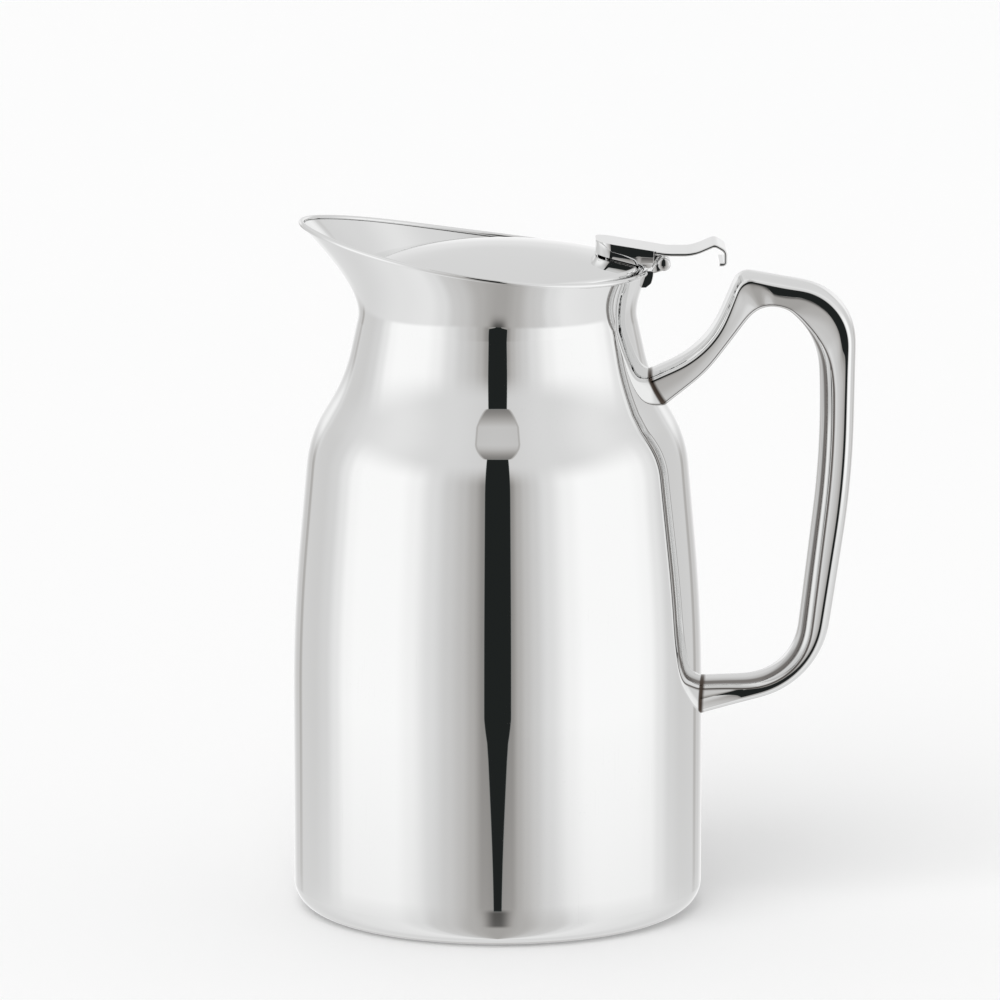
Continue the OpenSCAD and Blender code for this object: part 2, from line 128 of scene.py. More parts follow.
class JugLidSizes(bpy.types.PropertyGroup):
    centre: size("Centre", "Distance of the lid's centre behind the body's axis", 0.6, 0.4, 0.8)
    radius: size("Radius", "Outer radius of the lid", 39.4, 38, 41)
    top_height: size("Top height", "Height of the lid's highest point", 189.5, 188, 191)
    dome_radius: size("Dome radius", "Radius of the lid's shallow dome", 137, 120, 150)
    wall: size("Wall", "Thickness of the lid's upper sheet", 0.8, 0.6, 1)
    plug_radius: size("Plug radius", "Radius of the lid's plug", 36.5, 35, 38)
    plug_height: size("Plug height", "Height of the plug's underside", 172.3, 170, 175)
    pan_wall: size("Pan wall", "Thickness of the lid's lower sheet", 0.6, 0.5, 0.8)


class JugHingeSizes(bpy.types.PropertyGroup):
    pin_x: size("Pin position", "Distance of the hinge pin behind the body's axis", 46.5, 45, 48)
    pin_z: size("Pin height", "Height of the hinge pin", 184.4, 183, 186)
    pin_radius: size("Pin radius", "Radius of the hinge pin", 1, 0.8, 1.2)
    knuckle_radius: size("Knuckle radius", "Outer radius of the knuckles", 1.9, 1.6, 2.1)
    knuckle_width: size("Middle knuckle", "Width of the lid's middle knuckle", 8.6, 6, 10)
    bracket_width: size("Bracket width", "Width over the bracket's two knuckles", 13.8, 12, 15)
    bracket_height: size("Bracket height", "Height of the bracket's leaf", 4.8, 3, 6)
    leaf: size("Leaf", "Thickness of the bracket's leaf", 1.1, 0.8, 1.3)


class JugLeverSizes(bpy.types.PropertyGroup):
    width: size("Width", "Width of the thumb lever", 16, 15, 18)
    nose_x: size("Nose position", "Distance of the lever's nose behind the body's axis", 27.4, 25, 30)
    nose_height: size("Nose height", "Height of the lever's nose", 191, 190, 193)
    tail_reach: size("Tail reach", "Distance from the pin to the turned-down tail", 17.7, 14, 18)
    tail_height: size("Tail height", "Height of the tail's top", 190.4, 188, 192)
    sheet: size("Sheet", "Thickness of the lever's sheet", 0.9, 0.7, 1)
    lift: size("Lift", "Gap between the lever's side walls and the lid", 0.5, 0.2, 1)
    nose_round: size("Nose rounding", "Rounding of the nose's corners, seen from above", 4.5, 1, 6)


class JugHandleSizes(bpy.types.PropertyGroup):
    reach: size("Reach", "Distance from the body's axis to the handle's outer side", 100.8, 97, 106)
    top_height: size("Top height", "Height of the handle's top", 182.4, 180, 184)
    low_height: size("Low height", "Height of the handle's lower outer corner", 64, 61, 66)
    grip: size("Grip", "Thickness of the grip, seen from the side", 10, 9, 11)
    width: size("Width", "Width of the handle, seen from the rear", 15, 13, 16.4)
    flare: size("Flare", "How far each side flares out towards the lower joint", 2.6, 0, 3)
    outer_band: size("Outer band", "Depth of the rounded band outside the ridge", 2.5, 1.4, 3)
    inner_band: size("Inner band", "Depth of the rounded band along the inside of the grip", 4.1, 3, 5.2)


class JugFinish(bpy.types.PropertyGroup):
    steel: tint("Polished steel", "Colour of the mirror-polished steel", (0.87, 0.872, 0.87))
    # Dark colour for the painted shade and painted reflection lines on the handle's inner band, crease
    # and joints
    painted_shade: tint("Polish residue", "Colour of what polishing leaves in the seams", (0.09, 0.07, 0.058))
    satin: tint("Satin steel", "Colour of the satin steel", (0.62, 0.62, 0.63))
    foil: tint("Foil", "Colour of the reflective foil", (0.82, 0.62, 0.48))
    getter: tint("Getter", "Colour of the getter and the sealing plug", (0.3, 0.3, 0.31))
    foam: tint("Foam", "Colour of the lid's foam", (0.93, 0.91, 0.84))
    polish: share("Polish roughness", "Roughness of the mirror polish", 0.012)
    satin_roughness: share("Satin roughness", "Roughness of the satin finish", 0.3)
    wear: share("Wear", "Strength of hairline scratches and smudges", 0.5)


class JugStudioSettings(bpy.types.PropertyGroup):
    floor: tint("Floor", "Colour of the floor", (0.97, 0.97, 0.97))
    tent_radius: FloatProperty(
        name="Tent radius", description="Radius of the light tent that the metal mirrors",
        default=3.0, min=2.5, max=6.0, unit="LENGTH",
    )
    slit: FloatProperty(
        name="Slit", description="Half the width of the tent's front slit, seen from the jug",
        default=math.radians(7.4), min=0.0, max=math.radians(20), subtype="ANGLE",
    )
    lens: FloatProperty(
        name="Lens", description="Focal length of the camera",
        default=280.8, min=50, max=400, unit="CAMERA",
    )


# Lines and turned or swept sheets


def arc_corner(before, corner, after, radius, steps=24):
    """Points of the arc that rounds a corner between its two neighbours."""
    u = (before - corner).normalized()
    v = (after - corner).normalized()
    half = math.acos(max(-1.0, min(1.0, u.dot(v)))) / 2
    centre = corner + (u + v).normalized() * radius / math.sin(half)
    first = corner + u * radius / math.tan(half) - centre
    last = corner + v * radius / math.tan(half) - centre
    start = math.atan2(first.y, first.x)
    turn = (math.atan2(last.y, last.x) - start + 1.5 * TURN) % TURN - TURN / 2
    angles = [start + turn * i / steps for i in range(steps + 1)]
    return [centre + radius * Vector((math.cos(a), math.sin(a))) for a in angles]


def rounded_line(corners, parts=1, steps=24):
    """An open line through corners (x, z, radius). Straight runs are cut into equal parts."""
    arcs = []
    for i, corner in enumerate(corners):
        point = Vector(corner[:2])
        if len(corner) == 2:
            arcs.append([point])
        else:
            neighbours = Vector(corners[i - 1][:2]), Vector(corners[i + 1][:2])
            arcs.append(arc_corner(neighbours[0], point, neighbours[1], corner[2], steps))
    line = []
    for arc, following in zip(arcs, arcs[1:] + [None]):
        line += arc
        if following:
            line += [arc[-1].lerp(following[0], k / parts) for k in range(1, parts)]
    return line


def evened(lines, spacing):
    """Parallel lines, resampled together at an even spacing measured along their middle."""
    middle = [sum(points, Vector((0, 0))) / len(points) for points in zip(*lines)]
    reach = [0.0]
    for a, b in zip(middle, middle[1:]):
        reach.append(reach[-1] + (b - a).length)
    count = max(2, round(reach[-1] / spacing))
    out = [[] for _ in lines]
    k = 0
    for i in range(count + 1):
        target = reach[-1] * i / count
        while k < len(reach) - 2 and reach[k + 1] < target:
            k += 1
        t = (target - reach[k]) / max(1e-12, reach[k + 1] - reach[k])
        for line, made in zip(lines, out):
            made.append(line[k].lerp(line[k + 1], min(1.0, t)))
    return out


def eased(line, spacing, reach):
    """An evenly spaced line whose bends run into each other over a reach. Its ends stay."""
    for _ in range(round(2 * (reach / spacing) ** 2)):
        inner = [(a + 2 * b + c) / 4 for a, b, c in zip(line, line[1:], line[2:])]
        line = [line[0], *inner, line[-1]]
    return line


def thinned(line, bend=math.radians(1.2), longest=5 * MM):
    """The line without the points that its bends don't need."""
    kept = [line[0]]
    heading = line[1] - line[0]
    for point, after in zip(line[1:], line[2:]):
        step = after - point
        if heading.angle(step, 0) > bend or (point - kept[-1]).length > longest:
            kept.append(point)
            heading = step
    return kept + [line[-1]]


def beside(line, distance):
    """The line moved sideways, to the left of its run where the distance is positive."""
    out = []
    for i, point in enumerate(line):
        run = (line[min(i + 1, len(line) - 1)] - line[max(i - 1, 0)]).normalized()
        out.append(point + distance * Vector((-run.y, run.x)))
    return out


def ramp(value, low, high):
    """Smooth step from 0 at low to 1 at high."""
    t = max(0.0, min(1.0, (value - low) / (high - low)))
    return t * t * (3 - 2 * t)


def turned(line, closed=True, steps=SATIN_STEPS, centre=0.0):
    """A bmesh of a line in the X-Z plane, spun right round an upright axis at x = centre."""
    bm = bmesh.new()
    verts = [bm.verts.new((max(0.0, p[0]) + centre, 0, p[1])) for p in line]
    pairs = list(zip(verts, verts[1:])) + ([(verts[-1], verts[0])] if closed else [])
    edges = [bm.edges.new(pair) for pair in pairs]
    bmesh.ops.spin(
        bm, geom=verts + edges, cent=(centre, 0, 0), axis=(0, 0, 1), angle=TURN, steps=steps,
        use_merge=True, use_duplicate=False,
    )
    bmesh.ops.remove_doubles(bm, verts=bm.verts, dist=0.002 * MM)
    return bm


def between(value, stops):
    """Straight-line value between stops (position, value)."""
    for (low, start), (high, end) in zip(stops, stops[1:]):
        if value <= high:
            return start + (end - start) * max(0.0, value - low) / (high - low)
    return stops[-1][1]


def tube(rows, columns, place, closed_rows=False, shade=None):
    """A spun unit tube whose vertices are then placed, and shaded, by their row and column."""
    bm = bmesh.new()
    layer = bm.verts.layers.float.new("shade") if shade else None
    verts = [bm.verts.new((1, 0, row)) for row in range(rows)]
    pairs = list(zip(verts, verts[1:])) + ([(verts[-1], verts[0])] if closed_rows else [])
    edges = [bm.edges.new(pair) for pair in pairs]
    bmesh.ops.spin(
        bm, geom=verts + edges, axis=(0, 0, 1), angle=TURN, steps=columns, use_merge=True,
        use_duplicate=False,
    )
    for vert in bm.verts:
        column = round(math.atan2(vert.co.y, vert.co.x) / TURN * columns) % columns
        row = round(vert.co.z)
        vert.co = place(row, column)
        if shade:
            vert[layer] = shade(row, column)
    return bm


def close_ends(bm):
    """Fills the open ends of a shape."""
    edges = [edge for edge in bm.edges if edge.is_boundary]
    bmesh.ops.holes_fill(bm, edges=edges, sides=0)


def round_edges(bm, edges, width, segments=3):
    """Rounds some edges of a shape."""
    bmesh.ops.bevel(
        bm, geom=list(edges), offset=width, offset_type="OFFSET", affect="EDGES", segments=segments,
        profile=0.5, material=-1, clamp_overlap=True,
    )


def sharp_edges(bm, angle=0.6):
    """The edges of a shape where its faces meet at a sharp angle."""
    return [e for e in bm.edges if len(e.link_faces) == 2 and e.calc_face_angle(0) > angle]


def block(corners, width, middle=0.0):
    """A solid with a side outline in the X-Z plane, as wide as given across Y."""
    bm = bmesh.new()
    face = bm.faces.new([bm.verts.new((x, middle - width / 2, z)) for x, z in corners])
    made = bmesh.ops.extrude_face_region(bm, geom=[face])["geom"]
    verts = [part for part in made if isinstance(part, bmesh.types.BMVert)]
    bmesh.ops.translate(bm, verts=verts, vec=(0, width, 0))
    bmesh.ops.recalc_face_normals(bm, faces=bm.faces)
    return bm


def laid(bm, x, z, middle=0.0):
    """Lays an upright turned shape down along Y and moves it into place."""
    bmesh.ops.rotate(bm, verts=bm.verts, cent=(0, 0, 0), matrix=Matrix.Rotation(TURN / 4, 3, "X"))
    bmesh.ops.translate(bm, verts=bm.verts, vec=(x, middle, z))
    return bm


def barrel(x, z, radius, bore, width, middle=0.0, edge=0.2 * MM):
    """A round bar across Y with rounded edges, or a ring where its bore isn't zero."""
    half = width / 2
    corners = [(bore, -half), (radius, -half, edge), (radius, half, edge), (bore, half)]
    line = rounded_line(corners, steps=4)
    return laid(turned(line, closed=bore > 0, steps=48), x, z, middle)


def joined(parts):
    """One bmesh made of several."""
    whole = bmesh.new()
    for part in parts:
        held = bpy.data.meshes.new("part")
        part.to_mesh(held)
        part.free()
        whole.from_mesh(held)
        bpy.data.meshes.remove(held)
    return whole


def finish_piece(bm, name, body, slot, nodes, crease=math.radians(32)):
    """Turns a bmesh into a piece that rides a body, stands for CAD nodes and has its finish."""
    bmesh.ops.remove_doubles(bm, verts=bm.verts, dist=0.002 * MM)
    bmesh.ops.recalc_face_normals(bm, faces=bm.faces)
    for face in bm.faces:
        face.smooth = True
    for edge in bm.edges:
        edge.smooth = len(edge.link_faces) != 2 or edge.calc_face_angle(0) < crease
    mesh = bpy.data.meshes.new(name)
    bm.to_mesh(mesh)
    bm.free()
    piece = bpy.data.objects.new(name, mesh)
    bpy.context.scene.collection.objects.link(piece)
    mesh.materials.append(finish(slot))
    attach(piece, body)
    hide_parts(*nodes)


# Finishes


class Wires:
    """Adds nodes to one node tree and links them."""

    def __init__(self, tree):
        self.tree = tree
        tree.nodes.clear()

    def node(self, kind, **settings):
        """A new node with some of its settings."""
        made = self.tree.nodes.new(kind)
        for name, value in settings.items():
            setattr(made, name, value)
        return made

    def feed(self, socket, value):
        """Links another node's output to a socket, or sets its value."""
        if isinstance(value, bpy.types.NodeSocket):
            self.tree.links.new(value, socket)
        else:
            socket.default_value = value

    def math(self, operation, *values):
        """Result of a math node."""
        made = self.node("ShaderNodeMath", operation=operation)
        for socket, value in zip(made.inputs, values):
            self.feed(socket, value)
        return made.outputs[0]

    def times(self, first, *others):
        """Product of several values."""
        for other in others:
            first = self.math("MULTIPLY", first, other)
        return first

    def span(self, value, low, high, start=0.0, end=1.0):
        """Smooth step of a value from low to high."""
        made = self.node("ShaderNodeMapRange", interpolation_type="SMOOTHSTEP")
        given = {"Value": value, "From Min": low, "From Max": high, "To Min": start, "To Max": end}
        for name, wanted in given.items():
            self.feed(made.inputs[name], wanted)
        return made.outputs[0]

    def fall(self, value, low, high):
        """Smooth step of a value, from 1 at low down to 0 at high."""
        return self.span(value, low, high, 1.0, 0.0)

    def mix(self, factor, a, b):
        """Mix of two values."""
        made = self.node("ShaderNodeMix", data_type="FLOAT")
        for socket, value in zip(made.inputs[:1] + made.inputs[2:4], (factor, a, b)):
            self.feed(socket, value)
        return made.outputs[0]

    def mix_colour(self, factor, a, b):
        """Mix of two colours."""
        made = self.node("ShaderNodeMix", data_type="RGBA")
        for socket, value in zip(made.inputs[:1] + made.inputs[6:8], (factor, a, b)):
            self.feed(socket, value)
        return made.outputs[2]

    def noise(self, vector, scale, detail=3.0, roughness=0.55):
        """Soft noise between 0 and 1."""
        made = self.node("ShaderNodeTexNoise")
        given = {"Vector": vector, "Scale": scale, "Detail": detail, "Roughness": roughness}
        for name, wanted in given.items():
            self.feed(made.inputs[name], wanted)
        return made.outputs["Fac"]

    def placed(self, vector, rotation, scale):
        """A position, turned and stretched."""
        made = self.node("ShaderNodeMapping")
        self.feed(made.inputs["Vector"], vector)
        made.inputs["Rotation"].default_value = rotation
        made.inputs["Scale"].default_value = scale
        return made.outputs[0]


def rgba(colour, factor=1.0):
    """A colour with its alpha, made lighter or darker by a factor."""
    return (*[min(1.0, channel * factor) for channel in colour], 1.0)


def effect_group(name, inputs, outputs):
    """A shader node group with its sockets. Returns its wires, its inputs and its output node."""
    tree = bpy.data.node_groups.new(name, "ShaderNodeTree")
    wires = Wires(tree)
    for label, kind, value in inputs:
        socket = tree.interface.new_socket(name=label, in_out="INPUT", socket_type=kind)
        if value is not None:
            socket.default_value = value
    for label in outputs:
        tree.interface.new_socket(name=label, in_out="OUTPUT", socket_type="NodeSocketFloat")
    return wires, wires.node("NodeGroupInput").outputs, wires.node("NodeGroupOutput").inputs


def hairlines():
    """Group: hairline scratches in three directions, and soft smudges from wiping."""
    if "hairlines" in bpy.data.node_groups:
        return bpy.data.node_groups["hairlines"]
    wires, given, out = effect_group(
        "hairlines",
        [("Vector", "NodeSocketVector", None), ("Amount", "NodeSocketFloat", 0.5)],
        ["Scratches", "Smudges"],
    )
    patches = wires.span(wires.noise(given["Vector"], 45.0, 2.0), 0.45, 0.7)
    lines = []
    for rotation, scale in (
        ((0.3, 0.5, 0.2), (30, 2600, 2600)),
        ((0.9, -0.4, 1.1), (2300, 26, 2300)),
        ((-0.5, 0.2, 0.7), (2500, 2500, 34)),
    ):
        streak = wires.noise(wires.placed(given["Vector"], rotation, scale), 1.0, 1.0, 0.4)
        lines.append(wires.span(streak, 0.68, 0.76))
    any_line = wires.math("MAXIMUM", wires.math("MAXIMUM", lines[0], lines[1]), lines[2])
    wires.feed(out["Scratches"], wires.times(any_line, patches, given["Amount"]))
    wiped = wires.noise(wires.placed(given["Vector"], (0.2, 0.4, 0.9), (18, 60, 30)), 1.0, 4.0, 0.6)
    wires.feed(out["Smudges"], wires.times(wires.span(wiped, 0.35, 0.75), given["Amount"]))
    return wires.tree


def turned_grain():
    """Group: the fine rings that satin finishing leaves on a turned sheet."""
    if "turned_grain" in bpy.data.node_groups:
        return bpy.data.node_groups["turned_grain"]
    wires, given, out = effect_group(
        "turned_grain",
        [("Vector", "NodeSocketVector", None), ("Fineness", "NodeSocketFloat", 2200.0)],
        ["Rings", "Cloud"],
    )
    parts = wires.node("ShaderNodeSeparateXYZ")
    wires.feed(parts.inputs[0], given["Vector"])
    x, y, z = parts.outputs
    radius = wires.math("SQRT", wires.math("ADD", wires.times(x, x), wires.times(y, y)))
    around = wires.math("ARCTAN2", y, x)
    combined = wires.node("ShaderNodeCombineXYZ")
    wires.feed(combined.inputs[0], wires.times(radius, given["Fineness"]))
    wires.feed(combined.inputs[1], wires.times(wires.math("SINE", around), 2.5))
    wires.feed(combined.inputs[2], wires.times(z, given["Fineness"]))
    wires.feed(out["Rings"], wires.noise(combined.outputs[0], 1.0, 3.0, 0.6))
    wires.feed(out["Cloud"], wires.span(wires.noise(given["Vector"], 28.0, 3.0), 0.35, 0.7))
    return wires.tree


def material(name, make):
    """Makes a material with a Principled shader, and lets make add what feeds it."""
    made = bpy.data.materials.new(name)
    made.use_nodes = True
    wires = Wires(made.node_tree)
    shader = wires.node("ShaderNodeBsdfPrincipled")
    wires.feed(wires.node("ShaderNodeOutputMaterial").inputs["Surface"], shader.outputs[0])
    place = wires.node("ShaderNodeTexCoord").outputs["Object"]
    make(wires, shader.inputs, place, bpy.context.scene.jug_finish)
    return made


def bumped(wires, shader, height, distance, strength):
    """Feeds a height to the shader's normal."""
    bump = wires.node("ShaderNodeBump")
    bump.inputs["Distance"].default_value = distance
    bump.inputs["Strength"].default_value = strength
    wires.feed(bump.inputs["Height"], height)
    wires.feed(shader["Normal"], bump.outputs[0])


def polished_steel(wires, shader, place, finish_values):
    """Mirror polish with hairline scratches, faint wiping smudges, and a dark colour that the shade
    attribute mixes in as painted shade and painted reflection lines.
    """
    wear = wires.node("ShaderNodeGroup", node_tree=hairlines())
    wires.feed(wear.inputs["Vector"], place)
    wear.inputs["Amount"].default_value = finish_values.wear
    scratches, smudges = wear.outputs
    shader["Metallic"].default_value = 1.0
    tone = wires.math("ADD", wires.times(scratches, 0.25), wires.times(smudges, 0.04))
    steel = finish_values.steel
    # The handle's shade attribute mixes in the dark colour: painted shade and painted reflection lines,
    # not a deposit on the steel
    painted_shade = wires.node("ShaderNodeAttribute", attribute_name="shade").outputs["Fac"]
    clean = wires.mix_colour(tone, rgba(steel), rgba(steel, 0.8))
    wires.feed(shader["Base Color"], wires.mix_colour(painted_shade, clean, rgba(finish_values.painted_shade)))
    rough = wires.math("MULTIPLY_ADD", smudges, 0.006, finish_values.polish)
    wires.feed(shader["Roughness"], wires.math("MULTIPLY_ADD", scratches, 0.1, rough))


def satin_steel(wires, shader, place, finish_values):
    """Satin finish with fine turned rings and a soft change of tone."""
    grain = wires.node("ShaderNodeGroup", node_tree=turned_grain())
    wires.feed(grain.inputs["Vector"], place)
    rings, cloud = grain.outputs
    shader["Metallic"].default_value = 1.0
    tone = wires.math("MULTIPLY_ADD", cloud, 0.3, wires.times(rings, 0.5))
    satin = finish_values.satin
    wires.feed(shader["Base Color"], wires.mix_colour(tone, rgba(satin, 1.08), rgba(satin, 0.88)))
    rough = wires.math("MULTIPLY_ADD", rings, 0.14, finish_values.satin_roughness - 0.07)
    wires.feed(shader["Roughness"], wires.math("MULTIPLY_ADD", cloud, 0.06, rough))
    bumped(wires, shader, rings, 0.01 * MM, 0.35)


def foil(wires, shader, place, finish_values):
    """Thin bright foil with small crinkles."""
    crinkle = wires.noise(place, 260.0, 4.0, 0.6)
    folds = wires.noise(wires.placed(place, (0.1, 0.3, 0.5), (90, 90, 400)), 1.0, 2.0)
    shader["Metallic"].default_value = 1.0
    light, dark = rgba(finish_values.foil, 1.1), rgba(finish_values.foil, 0.85)
    wires.feed(shader["Base Color"], wires.mix_colour(folds, light, dark))
    wires.feed(shader["Roughness"], wires.span(crinkle, 0.3, 0.7, 0.12, 0.32))
    bumped(wires, shader, crinkle, 0.15 * MM, 0.5)


def getter(wires, shader, place, finish_values):
    """Dull sintered metal with a fine grain."""
    grain = wires.noise(place, 3200.0, 3.0, 0.7)
    cloud = wires.noise(place, 300.0, 2.0)
    shader["Metallic"].default_value = 0.8
    tone = wires.math("MULTIPLY_ADD", grain, 0.6, wires.times(cloud, 0.4))
    dark, light = rgba(finish_values.getter, 0.8), rgba(finish_values.getter, 1.3)
    wires.feed(shader["Base Color"], wires.mix_colour(tone, dark, light))
    wires.feed(shader["Roughness"], wires.span(grain, 0.3, 0.7, 0.5, 0.75))
    bumped(wires, shader, grain, 0.05 * MM, 0.5)


def foam(wires, shader, place, finish_values):
    """Rigid foam with open pores."""
    pores = wires.node("ShaderNodeTexVoronoi")
    wires.feed(pores.inputs["Vector"], place)
    pores.inputs["Scale"].default_value = 1400.0
    cell = wires.span(pores.outputs["Distance"], 0.1, 0.6)
    cloud = wires.noise(place, 120.0, 2.0)
    tone = wires.math("MULTIPLY_ADD", cell, 0.6, wires.times(cloud, 0.4))
    dark, light = rgba(finish_values.foam, 0.86), rgba(finish_values.foam)
    wires.feed(shader["Base Color"], wires.mix_colour(tone, dark, light))
    wires.feed(shader["Roughness"], wires.span(cloud, 0.3, 0.7, 0.8, 0.95))
    bumped(wires, shader, cell, 0.1 * MM, 0.6)


FINISHES = {
    "polished_steel": polished_steel,
    "satin_steel": satin_steel,
    "foil": foil,
    "getter": getter,
    "foam": foam,
}


def finish(slot):
    """The finish of a material slot, made once."""
    name = "finish_" + slot
    return bpy.data.materials.get(name) or material(name, FINISHES[slot])


# Shapes that more than one piece needs


def shell_line(sizes):
    """Outline of the outer wall, from the foot's inner edge up to the weld, with eased bends."""
    corners = [
        (sizes.foot_radius, 0),
        (sizes.radius, 0, sizes.base_round),
        (sizes.radius, sizes.taper_height, sizes.taper_round),
        (sizes.shoulder_radius, sizes.shoulder_height, sizes.shoulder_round),
        (sizes.neck_radius, sizes.neck_height, sizes.neck_round),
        (sizes.seam_radius, sizes.seam_height),
    ]
    spacing = 0.4 * MM
    plain, = evened([rounded_line(corners, parts=4)], spacing)
    soft = eased(plain, spacing, sizes.ease)
    low = sizes.base_round * 2
    return [a.lerp(b, ramp(a.y, low, low + 20 * MM)) for a, b in zip(plain, soft)]


def radius_at(line, height):
    """Radius of an upward line at a height."""
    for a, b in zip(line, line[1:]):
        if a.y <= height <= b.y and b.y > a.y:
            return a.lerp(b, (height - a.y) / (b.y - a.y)).x
    return line[-1].x


def rim_radius(sizes, angle):
    """Plan radius of the rim in a direction, where half a turn is the lip."""
    front = max(0.0, -math.cos(angle))
    drawn_out = sizes.lip_reach - sizes.rim_radius - sizes.beak
    return sizes.rim_radius + drawn_out * front**2 + sizes.beak * front**24


def rim_height(sizes, x):
    """Height of the rim at a plan position."""
    s = (sizes.rim_radius - x) / (sizes.rim_radius + sizes.lip_reach)
    return sizes.rim_height + sizes.lip_rise * (0.2 * s + 0.8 * s * s)


def bead_centre(sizes, angle):
    """Radius and height of the rim bead's centre in a direction."""
    reach = rim_radius(sizes, angle)
    return reach - sizes.bead, rim_height(sizes, reach * math.cos(angle)) - sizes.bead


def flare_radius(angle, height):
    """Outer radius of the mouth's wall in a direction, at a height."""
    sizes = bpy.context.scene.jug_mouth
    body = bpy.context.scene.jug_body
    centre, top = bead_centre(sizes, angle)
    rise = top - body.seam_height
    u = max(0.0, (height - body.seam_height) / rise)
    soft = 0.12
    curve = ((u * u + soft * soft) ** 0.75 - soft**1.5) / ((1 + soft * soft) ** 0.75 - soft**1.5)
    slope = (body.neck_radius - body.seam_radius) / (body.seam_height - body.neck_height)
    spread = (centre + sizes.wall / 2 - body.seam_radius) * curve
    return body.seam_radius + spread - slope * rise * u * max(0.0, 1 - u) ** 2


def dome_height(x, y, gap=0.0):
    """Height of the lid's upper surface, grown by a gap, at a plan position."""
    lid = bpy.context.scene.jug_lid
    radius = lid.dome_radius + gap
    away = min(radius, math.hypot(x - lid.centre, y))
    return lid.top_height - lid.dome_radius + math.sqrt(radius * radius - away * away)


# Operators, one for each piece or group of like pieces


class JugPieceOperator:
    """What every operator of a piece shares."""

    bl_options = {"REGISTER", "UNDO"}


class JUG_OT_body(JugPieceOperator, bpy.types.Operator):
    """Turn the mirror-polished outer wall, from its hemmed foot to the weld in the neck"""

    bl_idname = "jug.body"
    bl_label = "Outer wall"

    def execute(self, context):
        sizes = context.scene.jug_body
        outside = thinned(shell_line(sizes))
        inside = beside(outside, sizes.wall)
        hem = [Vector((sizes.foot_radius + sizes.wall, 3 * MM)), Vector((sizes.foot_radius, 3 * MM))]
        section = outside + inside[:0:-1] + [Vector((hem[0].x, sizes.wall)), *hem]
        bm = turned(section, steps=POLISHED_STEPS)
        finish_piece(bm, "body_wall", "jug", "polished_steel", ["outer_shell"])
        return {"FINISHED"}


class JUG_OT_mouth(JugPieceOperator, bpy.types.Operator):
    """Draw the flared mouth out into the pouring lip, with the bead rolled along its rim"""

    bl_idname = "jug.mouth"
    bl_label = "Mouth and lip"

    def execute(self, context):
        sizes = context.scene.jug_mouth
        seam = context.scene.jug_body.seam_height
        levels = [ramp(k / 30, -0.4, 1.2) for k in range(31)]
        levels = [(v - levels[0]) / (levels[-1] - levels[0]) for v in levels][:-1]
        bead = [math.radians(a) for a in range(-44, 229, 8)]
        rows = len(levels) * 2 + len(bead)

        def place(row, column):
            angle = TURN * column / MOUTH_STEPS
            centre, top = bead_centre(sizes, angle)
            if len(levels) <= row < len(levels) + len(bead):
                turn = bead[row - len(levels)]
                radius, height = centre + sizes.bead * math.cos(turn), top + sizes.bead * math.sin(turn)
            else:
                inner = row >= len(levels) + len(bead)
                level = levels[rows - 1 - row if inner else row]
                height = seam + (top - seam) * level
                radius = flare_radius(angle, height) - (sizes.wall if inner else 0)
            return radius * math.cos(angle), radius * math.sin(angle), height

        bm = tube(rows, MOUTH_STEPS, place, closed_rows=True)
        finish_piece(bm, "mouth_with_lip", "jug", "polished_steel", ["mouth_collar"])
        return {"FINISHED"}


class JUG_OT_vessel(JugPieceOperator, bpy.types.Operator):
    """Turn the satin inner vessel, its drawn bottom and the cover under the foot"""

    bl_idname = "jug.vessel"
    bl_label = "Inner vessel and base"

    def execute(self, context):
        body = context.scene.jug_body
        sizes = context.scene.jug_vessel
        mouth = context.scene.jug_mouth
        outer = body.radius - body.wall - sizes.gap
        neck = sizes.bore + sizes.wall
        corners = [
            (0, sizes.floor_height - sizes.wall),
            (outer, sizes.floor_height - sizes.wall, 12 * MM),
            (outer, body.taper_height - sizes.gap, body.taper_round),
            (body.shoulder_radius - body.wall - sizes.gap, body.shoulder_height - sizes.gap / 2,
             body.shoulder_round - sizes.gap),
            (neck, body.neck_height - sizes.gap / 2, 20 * MM),
            (neck, sizes.ledge_height),
        ]
        line, = evened([rounded_line(corners, parts=4)], 0.6 * MM)
        side_wall = [i for i, spot in enumerate(line) if spot.x >= outer * 0.9]
        split = min(side_wall, key=lambda i: abs(line[i].y - sizes.seam_height))
        wall = thinned(line[split:])
        inside = beside(wall, sizes.wall)
        inside[-1].y = sizes.ledge_height
        section = wall[:-1] + [Vector((neck, sizes.ledge_height - sizes.wall))]
        rows = len(section) + 2 + len(inside)

        def place(row, column):
            angle = TURN * column / SATIN_STEPS
            if row < len(section):
                radius, height = section[row]
            elif row < len(section) + 2:
                height = sizes.ledge_height - (sizes.wall if row == len(section) else 0)
                radius = flare_radius(angle, height) - mouth.wall - 0.05 * MM
            else:
                radius, height = inside[rows - 1 - row]
            return radius * math.cos(angle), radius * math.sin(angle), height

        bm = tube(rows, SATIN_STEPS, place, closed_rows=True)
        finish_piece(bm, "vessel_wall", "jug", "satin_steel", ["inner_liner"])
        bottom = thinned(line[: split + 1])
        bottom[-1].y = sizes.seam_height - 0.05 * MM
        loop = bottom + beside(bottom, sizes.wall)[::-1]
        bm = turned(loop, closed=False)
        finish_piece(bm, "vessel_bottom", "jug", "satin_steel", ["liner_bottom"])
        cap = body.foot_radius - 0.05 * MM
        under = rounded_line([
            (0, sizes.base_recess + 0.8 * MM),
            (cap - 6 * MM, sizes.base_recess, 20 * MM),
            (cap, sizes.base_recess, 1.2 * MM),
            (cap, 4 * MM),
        ], steps=10)
        loop = under + beside(under, body.wall)[::-1]
        bm = turned(loop, closed=False)
        finish_piece(bm, "foot_cover", "jug", "satin_steel", ["base_cap"])
        return {"FINISHED"}


# Distance between the points along the handle's outline, and how many rows its halves are made of
HANDLE_STEP = 0.6 * MM
HANDLE_ROWS = 300
# Half the joint between the handle's halves, how deep its ends reach into the wall, the flare's length
HALF_JOINT = 0.02 * MM
BURIED = 0.3 * MM
FLARE_LENGTH = 18 * MM
